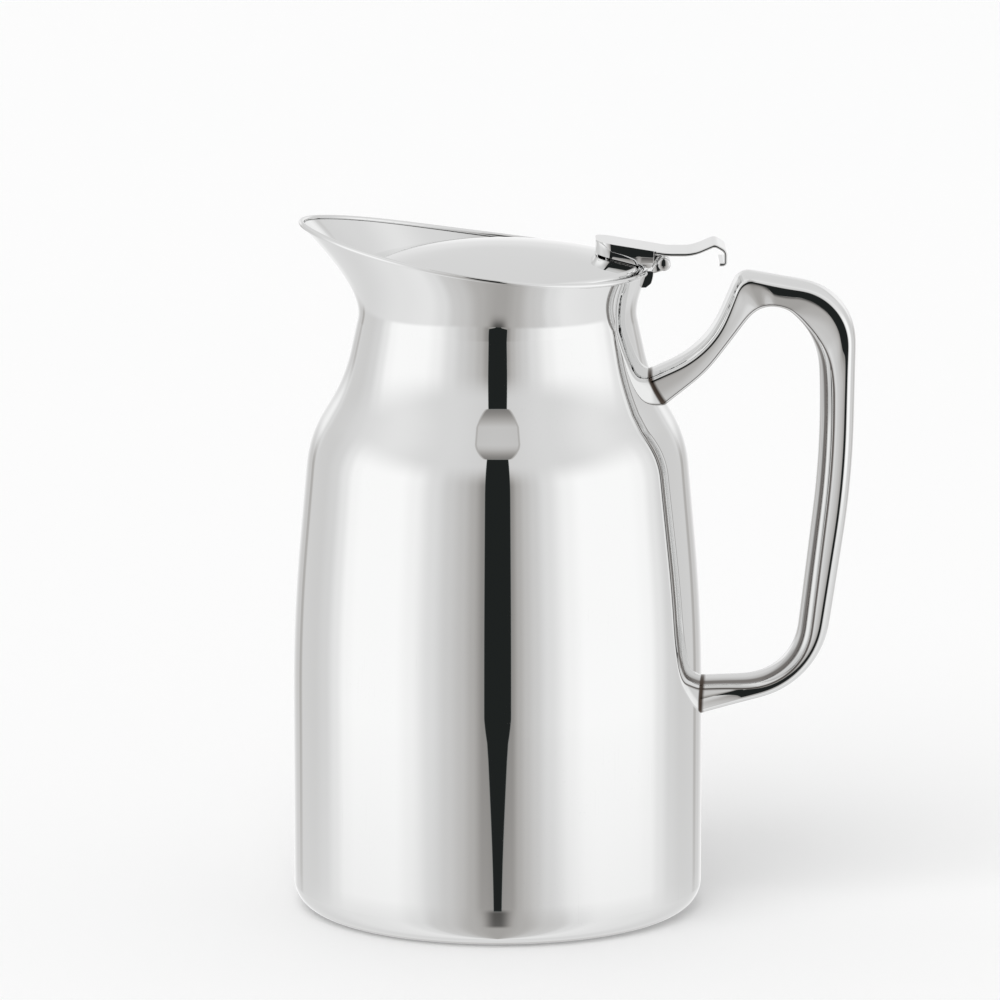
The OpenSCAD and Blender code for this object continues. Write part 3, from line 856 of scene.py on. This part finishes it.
# Darker lines along the inner band, by the share of its depth: a painted reflection line in its middle
# and painted shade along its crease
BAND_PAINTED_SHADE = [
    (0.0, 0.0), (0.1, 0.05), (0.25, 0.35), (0.32, 0.8), (0.5, 0.8), (0.57, 0.0),
    (0.82, 0.0), (0.88, 0.85), (0.98, 0.85), (1.02, 0.0),
]


def handle_lines(sizes):
    """The handle's outer and inner edges, seen from the side, paired point by point."""
    hinge = bpy.context.scene.jug_hinge
    lever = bpy.context.scene.jug_lever
    body = bpy.context.scene.jug_body
    pin, top, low = hinge.pin_x, sizes.top_height, sizes.low_height
    reach, grip = sizes.reach, sizes.grip
    middle = (top + low) / 2 + 8 * MM
    outer = [
        (body.seam_radius - 5.8 * MM, top - 32.8 * MM),
        (pin + 11.6 * MM, top - 21.9 * MM, 27.5 * MM),
        (pin + lever.tail_reach + 3.2 * MM, top, 4 * MM),
        (reach + 0.1 * MM, top - 6.1 * MM, 17.5 * MM),
        (reach - 0.8 * MM, middle - 8.4 * MM, 258 * MM),
        (reach - 9.5 * MM, low, 26 * MM),
        (body.radius - 5.8 * MM, low - 10.2 * MM),
    ]
    inner = [
        (body.seam_radius - 0.9 * MM, top - 45.9 * MM),
        (pin + 12.5 * MM, top - 29.3 * MM, 38 * MM),
        (pin + 28.8 * MM, top - 7.6 * MM, 8.3 * MM),
        (reach - 0.8 * MM - grip, top - 17.9 * MM, 21.5 * MM),
        (reach + 0.3 * MM - grip, middle + 1.7 * MM, 250 * MM),
        (reach - 7.5 * MM - grip, low + 2.6 * MM, 16 * MM),
        (body.radius - 7.8 * MM, low + 1.3 * MM),
    ]
    outer, = evened([rounded_line(outer, parts=10, steps=30)], HANDLE_STEP)
    inner, = evened([rounded_line(inner, parts=10, steps=30)], HANDLE_STEP)
    outer, inner = eased(outer, HANDLE_STEP, 1.5 * MM), eased(inner, HANDLE_STEP, 1.5 * MM)
    # Each point of the outer edge takes the inner point that lies straight across from it
    across, k = [], 0
    for point in outer:
        while k < len(inner) - 1 and (inner[k + 1] - point).length < (inner[k] - point).length:
            k += 1
        across.append(Vector((k, 0)))
    across[0], across[-1] = Vector((0, 0)), Vector((len(inner) - 1, 0))
    across = [mark.x for mark in eased(across, HANDLE_STEP, 5 * MM)]
    paired = []
    for mark in across:
        i = min(len(inner) - 2, int(mark))
        paired.append(inner[i].lerp(inner[i + 1], mark - i))
    return outer, paired


def half_section(thick, outer_band, inner_band, width, lower_arm, top_run):
    """Half of the handle's section, as (across, sideways), from its outer to its inner middle."""
    h, b = thick / 2, outer_band
    points = []
    for k in range(17):
        a = TURN / 4 * (1 - (1 - k / 16) ** 1.7)
        points.append((h - b * (1 - math.cos(a)), width * math.sin(a)))
    face = thick - b - inner_band
    # Degrees that the side face leans in, by the distance from the ridge: grip, lower arm and top run
    leans = [
        (1 - lower_arm - top_run, [(0, 0), (0.4 * MM, 3), (0.7 * MM, 8.5), (max(face, 1 * MM), 21)]),
        (lower_arm, [(0, 0), (2.4 * MM, 24), (max(face, 3 * MM), 40)]),
        (top_run, [(0, 0), (1.8 * MM, 1.2), (2.8 * MM, 12), (max(face, 3 * MM), 22)]),
    ]
    side, before = width, 0.0
    for k in range(1, 19):
        away = face * (k / 18) ** 1.5
        lean = sum(part * between((away + before) / 2, stops) for part, stops in leans)
        side -= (away - before) * math.tan(math.radians(lean))
        before = away
        points.append((h - b - away, side))
    # A shallow valley along the crease between the face and the inner band
    crease, deep, wide, slope = inner_band - h, 0.1 * MM, 0.12 * inner_band, 0.3
    for k in range(1, 8):
        dip = deep * (1 - math.cos(TURN * k / 8)) / 2
        points.append((crease - wide * k / 8, side - slope * wide * k / 8 - dip))
    start, low = math.radians(62), side - slope * wide
    depth = (inner_band - wide) / (1 - math.cos(start))
    for k in range(25):
        a = start * (1 - k / 24)
        points.append((-h + depth * (1 - math.cos(a)), low * math.sin(a) / math.sin(start)))
    return points


class JUG_OT_handle(JugPieceOperator, bpy.types.Operator):
    """Sweep the two pressed halves of the hollow handle and end them on the body's wall"""

    bl_idname = "jug.handle"
    bl_label = "Handle halves"

    def execute(self, context):
        sizes = context.scene.jug_handle
        outer, inner = handle_lines(sizes)
        shell = shell_line(context.scene.jug_body)
        last = len(outer) - 1

        @functools.lru_cache(maxsize=None)
        def section(along):
            """Middle, direction, points, half thickness and inner band at a place along the handle."""
            i = min(last - 1, int(along))
            a, b = outer[i].lerp(outer[i + 1], along - i), inner[i].lerp(inner[i + 1], along - i)
            s = along / last
            band = sizes.inner_band * (0.35 + 0.65 * ramp(s, 0.33, 0.47) - 0.3 * ramp(s, 0.8, 0.97))
            top_run = ramp(s, 0.235, 0.26) * (1 - ramp(s, 0.36, 0.46))
            lower_arm = ramp(s, 0.76, 0.87)
            to_end = (last - along) * HANDLE_STEP
            width = sizes.width / 2 + sizes.flare * max(0.0, 1 - to_end / FLARE_LENGTH) ** 1.4
            points = half_section((a - b).length, sizes.outer_band, band, width, lower_arm, top_run)
            return (a + b) / 2, (a - b).normalized(), points, (a - b).length / 2, band

        def point(along, column, side):
            middle, lift, points, _, _ = section(along)
            across, out = points[column]
            spot = middle + lift * across
            return Vector((spot.x, side * (out + HALF_JOINT), spot.y))

        columns = len(section(0)[2])
        last_row = HANDLE_ROWS - 1
        for name, node, side in (
            ("handle_half_front", "handle_left", -1),
            ("handle_half_rear", "handle_right", 1),
        ):
            starts, ends = [], []
            for c in range(columns):
                starts.append(leaves_wall(lambda t: point(t, c, side), shell, last * 0.3))
                ends.append(last - leaves_wall(lambda t: point(last - t, c, side), shell, last * 0.25))

            def along(row, column):
                return starts[column] + (ends[column] - starts[column]) * row / last_row

            def place(row, column):
                return point(along(row, column), column, side)

            # Painted reflection lines across the inner band, and painted shade in its crease and along
            # both joints with the wall
            def shade(row, column):
                _, _, points, half, band = section(along(row, column))
                dark = between((points[column][0] + half) / band, BAND_PAINTED_SHADE)
                at_joint = row < 2 or row > last_row - 2
                return max(dark, 1.0 if at_joint else 0.0)

            bm = tube(HANDLE_ROWS, columns, place, shade=shade)
            close_ends(bm)
            finish_piece(bm, name, "jug", "polished_steel", [node])
        return {"FINISHED"}


def leaves_wall(point, shell, high):
    """How far along a line of the handle comes out of the body's wall."""
    low = 0.0
    for _ in range(24):
        middle = (low + high) / 2
        p = point(middle)
        outside = math.hypot(p.x, p.y) > radius_at(shell, p.z) - BURIED
        low, high = (low, middle) if outside else (middle, high)
    return low


class JUG_OT_hinge(JugPieceOperator, bpy.types.Operator):
    """Make the hinge bracket with its two knuckles, and the pin"""

    bl_idname = "jug.hinge"
    bl_label = "Hinge bracket and pin"

    def execute(self, context):
        sizes = context.scene.jug_hinge
        mouth = context.scene.jug_mouth
        half = (sizes.bracket_width - sizes.knuckle_width) / 4 - 0.125 * MM
        low = mouth.rim_height - sizes.bracket_height
        top = mouth.rim_height - 0.2 * MM
        out = mouth.rim_radius + sizes.leaf
        parts = []
        for side in (-1, 1):
            middle = side * (sizes.bracket_width / 2 - half)
            bore = sizes.pin_radius + 0.02 * MM
            parts.append(barrel(sizes.pin_x, sizes.pin_z, sizes.knuckle_radius, bore, 2 * half, middle))
            r = sizes.knuckle_radius * 0.7
            leg = block([
                (out - 0.6 * MM, top), (out, top - 0.6 * MM),
                (sizes.pin_x + r, sizes.pin_z - r), (sizes.pin_x - r, sizes.pin_z + r),
            ], 2 * half, middle)
            bmesh.ops.bisect_plane(leg, geom=leg.verts[:] + leg.edges[:] + leg.faces[:],
                                   plane_co=(sizes.pin_x - 0.7 * MM, 0, sizes.pin_z - 0.7 * MM),
                                   plane_no=(1, 0, 1), clear_outer=True)
            close_ends(leg)
            round_edges(leg, sharp_edges(leg), 0.2 * MM, 2)
            parts.append(leg)
        leaf = bmesh.new()
        bmesh.ops.create_cube(leaf, size=2)
        bmesh.ops.subdivide_edges(leaf, edges=leaf.edges, cuts=11, use_grid_fill=True)
        for vert in leaf.verts:
            across, level = vert.co.y * sizes.bracket_width / 2, (vert.co.z + 1) / 2
            z = low + (top - low) * level
            wall = math.sqrt(max(0, flare_radius(0, z) ** 2 - across**2)) - 0.2 * MM
            face = out - 1.2 * MM * (1 - level) ** 2 - 0.9 * MM * max(0.0, 0.25 - level) * 4
            vert.co = (wall + (face - wall) * (vert.co.x + 1) / 2, across, z)
        bmesh.ops.recalc_face_normals(leaf, faces=leaf.faces)
        round_edges(leaf, sharp_edges(leaf, 0.9), 0.4 * MM, 4)
        parts.append(leaf)
        bracket = joined(parts)
        finish_piece(bracket, "hinge_leaf_and_knuckles", "jug", "polished_steel", ["hinge_bracket"])
        # The pin, with a low domed head at each end
        head, rise, half = sizes.knuckle_radius - 0.2 * MM, 0.3 * MM, sizes.bracket_width / 2 + 0.3 * MM
        angles = [TURN / 4 * k / 10 for k in range(11)]
        dome = [(head * math.sin(a), half - rise * (1 - math.cos(a))) for a in angles]
        shaft = [(sizes.pin_radius, rise - half), (sizes.pin_radius, half - rise)]
        line = [(x, -z) for x, z in dome] + shaft + dome[::-1]
        pin = laid(turned(line, closed=False, steps=48), sizes.pin_x, sizes.pin_z)
        finish_piece(pin, "pin", "jug", "polished_steel", ["hinge_pin"])
        return {"FINISHED"}


class JUG_OT_lid(JugPieceOperator, bpy.types.Operator):
    """Turn the lid's domed sheet and its lower pan"""

    bl_idname = "jug.lid"
    bl_label = "Lid"

    def execute(self, context):
        sizes = context.scene.jug_lid
        rim = dome_height(sizes.centre + sizes.radius, 0)
        skirt = rim - 1.6 * MM
        shoulder = sizes.radius - 3.4 * MM
        reaches = [shoulder * k / 40 for k in range(41)]
        dome = [Vector((reach, dome_height(sizes.centre + reach, 0))) for reach in reaches]
        corner, foot = Vector((sizes.radius, rim)), Vector((sizes.radius, skirt))
        line = dome + arc_corner(dome[-1], corner, foot, 1.4 * MM, 14) + [foot]
        loop = line + beside(line, -sizes.wall)[::-1]
        bm = turned(loop, closed=False, steps=POLISHED_STEPS, centre=sizes.centre)
        finish_piece(bm, "lid_sheet", "lid", "polished_steel", ["lid_dome"])
        pan = rounded_line([
            (0, sizes.plug_height),
            (sizes.plug_radius, sizes.plug_height, 2.5 * MM),
            (sizes.plug_radius + 0.8 * MM, skirt, 0.8 * MM),
            (sizes.radius - sizes.wall - 0.1 * MM, skirt),
        ], steps=12)
        loop = pan + beside(pan, sizes.pan_wall)[::-1]
        bm = turned(loop, closed=False, centre=sizes.centre)
        finish_piece(bm, "lid_lower_pan", "lid", "satin_steel", ["lid_pan"])
        return {"FINISHED"}


# Distance between the points along the lever's side line
LEVER_STEP = 0.3 * MM


def lever_line():
    """Side line of the lever's top face, from its nose to its turned-down tail."""
    lever = bpy.context.scene.jug_lever
    hinge = bpy.context.scene.jug_hinge
    saddle = hinge.pin_z + hinge.knuckle_radius + 0.5 * MM + lever.sheet
    tail, top = hinge.pin_x + lever.tail_reach, lever.tail_height
    end = hinge.pin_z - 0.4 * MM
    corners = [
        (lever.nose_x, lever.nose_height),
        (hinge.pin_x + 1 * MM, saddle, 20 * MM),
        (tail - 9.6 * MM, saddle, 12 * MM),
        (tail - 3.4 * MM, top, 2.2 * MM),
        (tail, top - 2 * MM, 2.3 * MM),
        (tail, end, 1.3 * MM),
        (tail - 2.2 * MM, end),
    ]
    line, = evened([rounded_line(corners, parts=4, steps=16)], LEVER_STEP)
    return line


class JUG_OT_lever(JugPieceOperator, bpy.types.Operator):
    """Press the thumb lever from sheet, with its side walls and turned-down tail"""

    bl_idname = "jug.lever"
    bl_label = "Thumb lever"

    def execute(self, context):
        sizes = context.scene.jug_lever
        hinge = context.scene.jug_hinge
        line = lever_line()
        skirt_end = hinge.pin_x - hinge.knuckle_radius - 1.1 * MM
        bm = bmesh.new()
        columns = 24
        bmesh.ops.create_grid(bm, x_segments=len(line) - 1, y_segments=columns, size=1)
        nose = sizes.nose_round
        for vert in bm.verts:
            row = round((vert.co.x + 1) / 2 * (len(line) - 1))
            side = vert.co.y
            spot = line[row]
            inset = max(0.0, nose - (spot.x - sizes.nose_x))
            half = sizes.width / 2 - nose + math.sqrt(max(0.0, nose**2 - inset**2))
            vert.co = (spot.x, side * half, spot.y)
        walls = [e for e in bm.edges if e.is_boundary
                 and max(v.co.x for v in e.verts) < skirt_end + 0.2 * MM]
        made = bmesh.ops.extrude_edge_only(bm, edges=walls)["geom"]
        for vert in made:
            if isinstance(vert, bmesh.types.BMVert):
                x, y, z = vert.co
                deep = min(dome_height(x, y, sizes.lift), z - 1.2 * MM)
                level = ramp(x, 38.2 * MM, 40.2 * MM)
                vert.co.z = deep + (hinge.pin_z + 0.5 * MM - deep) * level
        bmesh.ops.recalc_face_normals(bm, faces=bm.faces)
        if sum(f.normal.z for f in bm.faces) < 0:
            bmesh.ops.reverse_faces(bm, faces=bm.faces)
        fold = [e for e in bm.edges if len(e.link_faces) == 2 and e.calc_face_angle(0) > 0.8
                and min(v.co.z for v in e.verts) > hinge.pin_z + 2 * MM
                and max(v.co.x for v in e.verts) < skirt_end + 0.2 * MM]
        round_edges(bm, fold, 0.55 * MM, 4)
        bmesh.ops.solidify(bm, geom=bm.faces[:], thickness=sizes.sheet)
        bmesh.ops.recalc_face_normals(bm, faces=bm.faces)
        sides = [e for e in sharp_edges(bm, 0.9) if min(v.co.x for v in e.verts) > skirt_end + 1 * MM
                 and min(abs(v.co.y) for v in e.verts) > sizes.width / 2 - 0.05 * MM
                 and sum(abs(gap) for gap in (e.verts[0].co - e.verts[1].co).xz) < 0.6 * MM]
        round_edges(bm, sides, 0.3 * MM, 4)
        round_edges(bm, sharp_edges(bm, 0.9), 0.12 * MM, 2)
        finish_piece(bm, "thumb_lever_sheet", "lid", "polished_steel", ["thumb_lever"])
        self.arm(sizes, hinge, line, skirt_end)
        return {"FINISHED"}

    def arm(self, sizes, hinge, line, skirt_end):
        """The arm under the lever, with the lid's middle knuckle."""
        lid = bpy.context.scene.jug_lid
        mouth = bpy.context.scene.jug_mouth
        width = sizes.width - 2 * sizes.sheet - 1.2 * MM
        front = sizes.nose_x + 3 * MM
        edge = lid.centre + lid.radius
        low = mouth.rim_height + 0.7 * MM
        under, rear = (
            next(p.y for p in line if abs(p.x - x) < LEVER_STEP) - sizes.sheet - 0.15 * MM
            for x in (front, skirt_end)
        )
        base = [front + (edge - 0.4 * MM - front) * k / 8 for k in range(9)]
        outline = [(x, dome_height(x, 0, 0.03 * MM)) for x in base]
        outline += [(edge - 0.4 * MM, low), (skirt_end - 0.8 * MM, low), (skirt_end, hinge.pin_z),
                    (skirt_end, rear), (front, under)]
        body = block(outline, width)
        round_edges(body, sharp_edges(body, 1.0), 0.15 * MM, 2)
        strap = block([
            (skirt_end - 1 * MM, hinge.pin_z + 0.2 * MM),
            (hinge.pin_x - hinge.knuckle_radius + 0.5 * MM, hinge.pin_z),
            (hinge.pin_x - 0.9 * MM, hinge.pin_z + hinge.knuckle_radius - 0.35 * MM),
            (hinge.pin_x - 0.5 * MM, hinge.pin_z + hinge.knuckle_radius - 0.02 * MM),
            (skirt_end - 1 * MM, hinge.pin_z + hinge.knuckle_radius),
        ], hinge.knuckle_width)
        round_edges(strap, sharp_edges(strap, 0.9), 0.12 * MM, 2)
        bore = hinge.pin_radius + 0.05 * MM
        knuckle = barrel(hinge.pin_x, hinge.pin_z, hinge.knuckle_radius, bore, hinge.knuckle_width)
        arm = joined([body, strap, knuckle])
        finish_piece(arm, "lever_arm_and_knuckle", "lid", "polished_steel", ["lid_hinge_arm"])


SEALED_NODES = ("liner_foil", "getter_ring", "closing_plate", "seal_plug", "lid_insulation")


class JUG_OT_inside(JugPieceOperator, bpy.types.Operator):
    """Give the sealed inner pieces their own finishes"""

    bl_idname = "jug.inside"
    bl_label = "Sealed inner pieces"

    def execute(self, context):
        for part in frame["record"]["subparts"]:
            if part["node"] in SEALED_NODES:
                node = frame["nodes"][part["node"]]
                node.data.materials.clear()
                node.data.materials.append(finish(part["material_slot"]))
        return {"FINISHED"}


# Share of the tent's light that the polished steel mirrors
MIRRORED = 0.875
# A colour ramp holds no value over 1, so its greys are kept this much lower and raised again behind it
RAMP_TOP = 1.4
# Brightness of the tent's parts as display greys, by degrees: the walls, the table and the ceiling
# by the angle from the front, and the rear from the floor up
WALL_GREYS = [
    (0, 130), (8, 138), (14, 171), (20, 188), (28, 201), (38, 219), (50, 241), (60, 249),
    (86, 249), (95, 245), (103, 228), (113, 210), (125, 203), (143, 204), (146.5, 170),
    (149, 170), (151, 194), (180, 206),
]
TABLE_GREYS = [
    (0, 157), (8, 165), (14, 172), (28, 195), (35, 200), (45, 218), (60, 228), (90, 224),
    (137, 212), (165, 216), (180, 222),
]
CEILING_GREYS = [(0, 205), (40, 214), (80, 226), (120, 214), (180, 209)]
REAR_GREYS = [
    (-90, 222), (-62, 212), (-45, 185), (-32, 178), (-24, 235), (-18, 254), (-13, 245),
    (-4, 243), (3, 232), (10, 220), (18, 211), (90, 210),
]
# Degrees above the level of the tent's middle where the open slit ends, over a narrow soft edge
SLIT_FOOT, SLIT_TOP, SLIT_EDGE = -15.8, 36.9, 0.3
SLIT_GREY = 33
SLIT_COLOUR = (0.9, 1.04, 1.01, 1)
# The tent's darker greys are a little warm, and its bright ones are neutral
WARM, NEUTRAL = (1.035, 1.0, 0.965, 1), (1, 1, 1, 1)


def grey(value):
    """Linear brightness of a display grey between 0 and 255, as the polished steel has to mirror it."""
    v = value / 255
    linear = v / 12.92 if v <= 0.04045 else ((v + 0.055) / 1.055) ** 2.4
    return linear / MIRRORED


def band(wires, angle, low, stops):
    """Brightness by an angle in degrees, counted from low, given as display greys."""
    made = wires.node("ShaderNodeValToRGB")
    made.color_ramp.interpolation = "EASE"
    elements = made.color_ramp.elements
    while len(elements) > 1:
        elements.remove(elements[-1])
    for i, (spot, value) in enumerate(stops):
        element = elements[0] if i == 0 else elements.new((spot - low) / 180)
        element.position = (spot - low) / 180
        element.color = (grey(value) / RAMP_TOP,) * 3 + (1,)
    wires.feed(made.inputs[0], wires.math("DIVIDE", wires.math("SUBTRACT", angle, low), 180.0))
    return wires.times(made.outputs[0], RAMP_TOP)


def tent_angles(wires):
    """Degrees round from the front, the same with the right-hand shift, and degrees up."""
    straight = wires.node("ShaderNodeVectorMath", operation="NORMALIZE")
    wires.feed(straight.inputs[0], wires.node("ShaderNodeTexCoord").outputs["Object"])
    parts = wires.node("ShaderNodeSeparateXYZ")
    wires.feed(parts.inputs[0], straight.outputs[0])
    x, y, z = parts.outputs
    around = wires.math("ABSOLUTE", wires.math("ARCTAN2", x, wires.times(y, -1.0)))
    around = wires.math("DEGREES", around)
    # The right-hand panel comes further round to the front than the left-hand one
    right = wires.times(wires.span(around, 4.0, 30.0), wires.span(around, 45.0, 105.0, 9.0, 0.0))
    turned_by = wires.math("MULTIPLY_ADD", wires.math("GREATER_THAN", x, 0.0), right, around)
    return around, turned_by, wires.math("DEGREES", wires.math("ARCSINE", z))


def tent_panels(wires, around, turned_by, lift):
    """Brightness of the tent without its slit: table, walls, ceiling, and the panels behind the jug."""
    walls = band(wires, turned_by, 0, WALL_GREYS)
    table = band(wires, around, 0, TABLE_GREYS)
    ceiling = band(wires, around, 0, CEILING_GREYS)
    rear = band(wires, lift, -90, REAR_GREYS)
    level = wires.mix(wires.span(lift, -19.0, -12.0), table, walls)
    level = wires.mix(wires.span(lift, 10.0, 32.0), level, ceiling)
    back = wires.times(
        wires.span(lift, -5.0, 6.0), wires.fall(lift, 15.0, 24.0), wires.span(around, 138.0, 152.0)
    )
    level = wires.mix(back, level, grey(238))
    return wires.mix(wires.span(around, 154.0, 180.0), level, rear)


def tent_material(slit):
    """The light tent: white sides, a shaded front with an open slit, a grey floor and ceiling."""
    made = bpy.data.materials.new("light_tent")
    made.use_nodes = True
    wires = Wires(made.node_tree)
    around, turned_by, lift = tent_angles(wires)
    level = tent_panels(wires, around, turned_by, lift)
    # The soft shade under the slit
    shade = wires.span(lift, -34.0, -15.5, grey(160), grey(80))
    shaded = wires.times(wires.fall(around, 1.0, 10.0), wires.fall(lift, -16.4, -15.4))
    level = wires.mix(shaded, level, shade)
    # The open slit, narrower at its foot
    width = wires.span(lift, -15.4, -11.6, 0.3 * math.degrees(slit), math.degrees(slit))
    inside = wires.fall(wires.math("SUBTRACT", around, width), -0.25, 0.25)
    over_foot = wires.span(lift, SLIT_FOOT - SLIT_EDGE, SLIT_FOOT)
    opened = wires.times(inside, over_foot, wires.fall(lift, SLIT_TOP, SLIT_TOP + SLIT_EDGE))
    # The grey card that closes it higher up, wider with the height, and the line along its edge
    above = wires.math("MAXIMUM", wires.math("SUBTRACT", lift, SLIT_TOP), 0.0)
    card = wires.math("MULTIPLY_ADD", wires.math("POWER", above, 0.7), 1.6, 8.2)
    beyond = wires.math("SUBTRACT", around, card)
    over_top = wires.span(lift, SLIT_TOP, SLIT_TOP + SLIT_EDGE)
    on_card = wires.times(wires.fall(beyond, -1.0, 0.3), over_top)
    level = wires.mix(on_card, level, wires.span(lift, 36.5, 52.0, grey(122), grey(196)))
    near_edge = wires.fall(wires.math("ABSOLUTE", beyond), 0.3, 1.2)
    line = wires.times(near_edge, wires.span(lift, 36.7, 37.4), 0.55)
    level = wires.mix(line, level, grey(140))
    level = wires.mix(opened, level, grey(SLIT_GREY))
    warmth = wires.mix_colour(wires.span(level, 0.25, 0.8), WARM, NEUTRAL)
    glow = wires.node("ShaderNodeEmission")
    wires.feed(glow.inputs["Strength"], level)
    wires.feed(glow.inputs["Color"], wires.mix_colour(opened, warmth, SLIT_COLOUR))
    wires.feed(wires.node("ShaderNodeOutputMaterial").inputs["Surface"], glow.outputs[0])
    return made


class JUG_OT_studio(JugPieceOperator, bpy.types.Operator):
    """Set up the pale floor, the light tent, the soft lamp and the camera"""

    bl_idname = "jug.studio"
    bl_label = "Studio"

    def execute(self, context):
        scene = context.scene
        settings = scene.jug_studio
        self.floor(scene, settings)
        self.tent(scene, settings)
        self.world(scene)
        self.lamp(scene)
        self.camera(scene, settings)
        scene.view_settings.view_transform = "Standard"
        return {"FINISHED"}

    def lamp(self, scene):
        """A soft lamp for the jug's shadow, which the metal doesn't mirror."""
        lamp = bpy.data.objects.new("soft_lamp", bpy.data.lights.new("soft_lamp", "SUN"))
        lamp.data.energy = 1.1
        lamp.data.angle = math.radians(50)
        lamp.rotation_euler = (math.radians(35), math.radians(-20), 0)
        lamp.visible_glossy = False
        scene.collection.objects.link(lamp)

    def camera(self, scene, settings):
        """The camera, fitted to the photo."""
        camera = bpy.data.objects.new("camera", bpy.data.cameras.new("camera"))
        camera.data.sensor_width = 36
        camera.data.lens = settings.lens
        camera.data.clip_end = 50
        camera.location = (0.00066, -2.16103, 0.52830)
        camera.rotation_euler = (math.radians(79.2), 0, 0)
        scene.collection.objects.link(camera)
        scene.camera = camera

    def floor(self, scene, settings):
        """A plain pale floor that keeps the jug's shadow."""
        bm = bmesh.new()
        bmesh.ops.create_grid(bm, x_segments=1, y_segments=1, size=12)
        mesh = bpy.data.meshes.new("floor")
        bm.to_mesh(mesh)
        bm.free()
        floor = bpy.data.objects.new("floor", mesh)
        scene.collection.objects.link(floor)
        paint = bpy.data.materials.new("floor")
        paint.use_nodes = True
        shader = paint.node_tree.nodes["Principled BSDF"]
        shader.inputs["Base Color"].default_value = rgba(settings.floor)
        shader.inputs["Roughness"].default_value = 0.9
        shader.inputs["Specular IOR Level"].default_value = 0.2
        mesh.materials.append(paint)
        floor.visible_glossy = False

    def tent(self, scene, settings):
        """The tent round the jug, which only the metal sees."""
        line = [Vector((math.sin(a) * settings.tent_radius, -math.cos(a) * settings.tent_radius))
                for a in (math.pi * k / 48 for k in range(49))]
        bm = turned(line, closed=False, steps=96)
        for face in bm.faces:
            face.smooth = True
        mesh = bpy.data.meshes.new("light_tent")
        bm.to_mesh(mesh)
        bm.free()
        tent = bpy.data.objects.new("light_tent", mesh)
        tent.location = (0, 0, 0.1)
        scene.collection.objects.link(tent)
        mesh.materials.append(tent_material(settings.slit))
        tent.visible_camera = tent.visible_diffuse = tent.visible_shadow = False
        tent.visible_transmission = False

    def world(self, scene):
        """A plain white surround."""
        world = bpy.data.worlds.new("surround")
        world.use_nodes = True
        wires = Wires(world.node_tree)
        rays = wires.node("ShaderNodeLightPath")
        seen = wires.math("MAXIMUM", rays.outputs["Is Camera Ray"], rays.outputs["Is Glossy Ray"])
        seen = wires.math("MAXIMUM", seen, rays.outputs["Is Transmission Ray"])
        glow = wires.node("ShaderNodeBackground")
        wires.feed(glow.inputs["Strength"], wires.mix(seen, 0.72, 1.0))
        glow.inputs["Color"].default_value = (1, 1, 1, 1)
        wires.feed(wires.node("ShaderNodeOutputWorld").inputs["Surface"], glow.outputs[0])
        scene.world = world


class JUG_PT_panel(bpy.types.Panel):
    """The jug's pieces and sizes in the sidebar"""

    bl_label = "Steel serving jug"
    bl_idname = "JUG_PT_panel"
    bl_space_type = "VIEW_3D"
    bl_region_type = "UI"
    bl_category = "Jug"

    def draw(self, context):
        for operator, settings in PIECES:
            box = self.layout.box()
            box.operator(operator)
            group = getattr(context.scene, settings, None)
            for name in group.__annotations__ if group else ():
                box.prop(group, name)


SETTINGS = {
    "jug_body": JugBodySizes,
    "jug_mouth": JugMouthSizes,
    "jug_vessel": JugVesselSizes,
    "jug_lid": JugLidSizes,
    "jug_hinge": JugHingeSizes,
    "jug_lever": JugLeverSizes,
    "jug_handle": JugHandleSizes,
    "jug_finish": JugFinish,
    "jug_studio": JugStudioSettings,
}

PIECES = [
    ("jug.body", "jug_body"),
    ("jug.mouth", "jug_mouth"),
    ("jug.vessel", "jug_vessel"),
    ("jug.handle", "jug_handle"),
    ("jug.hinge", "jug_hinge"),
    ("jug.lid", "jug_lid"),
    ("jug.lever", "jug_lever"),
    ("jug.inside", "jug_finish"),
    ("jug.studio", "jug_studio"),
]

CLASSES = [
    *SETTINGS.values(),
    JUG_OT_body, JUG_OT_mouth, JUG_OT_vessel, JUG_OT_handle, JUG_OT_hinge, JUG_OT_lid, JUG_OT_lever,
    JUG_OT_inside, JUG_OT_studio, JUG_PT_panel,
]


def register():
    for cls in CLASSES:
        bpy.utils.register_class(cls)
    for name, cls in SETTINGS.items():
        setattr(bpy.types.Scene, name, PointerProperty(type=cls))


def unregister():
    for name in SETTINGS:
        delattr(bpy.types.Scene, name)
    for cls in reversed(CLASSES):
        bpy.utils.unregister_class(cls)


def main():
    """Builds every piece in order."""
    register()
    for operator, _ in PIECES:
        getattr(bpy.ops.jug, operator.split(".")[1])()


if __name__ == "__main__":
    main()
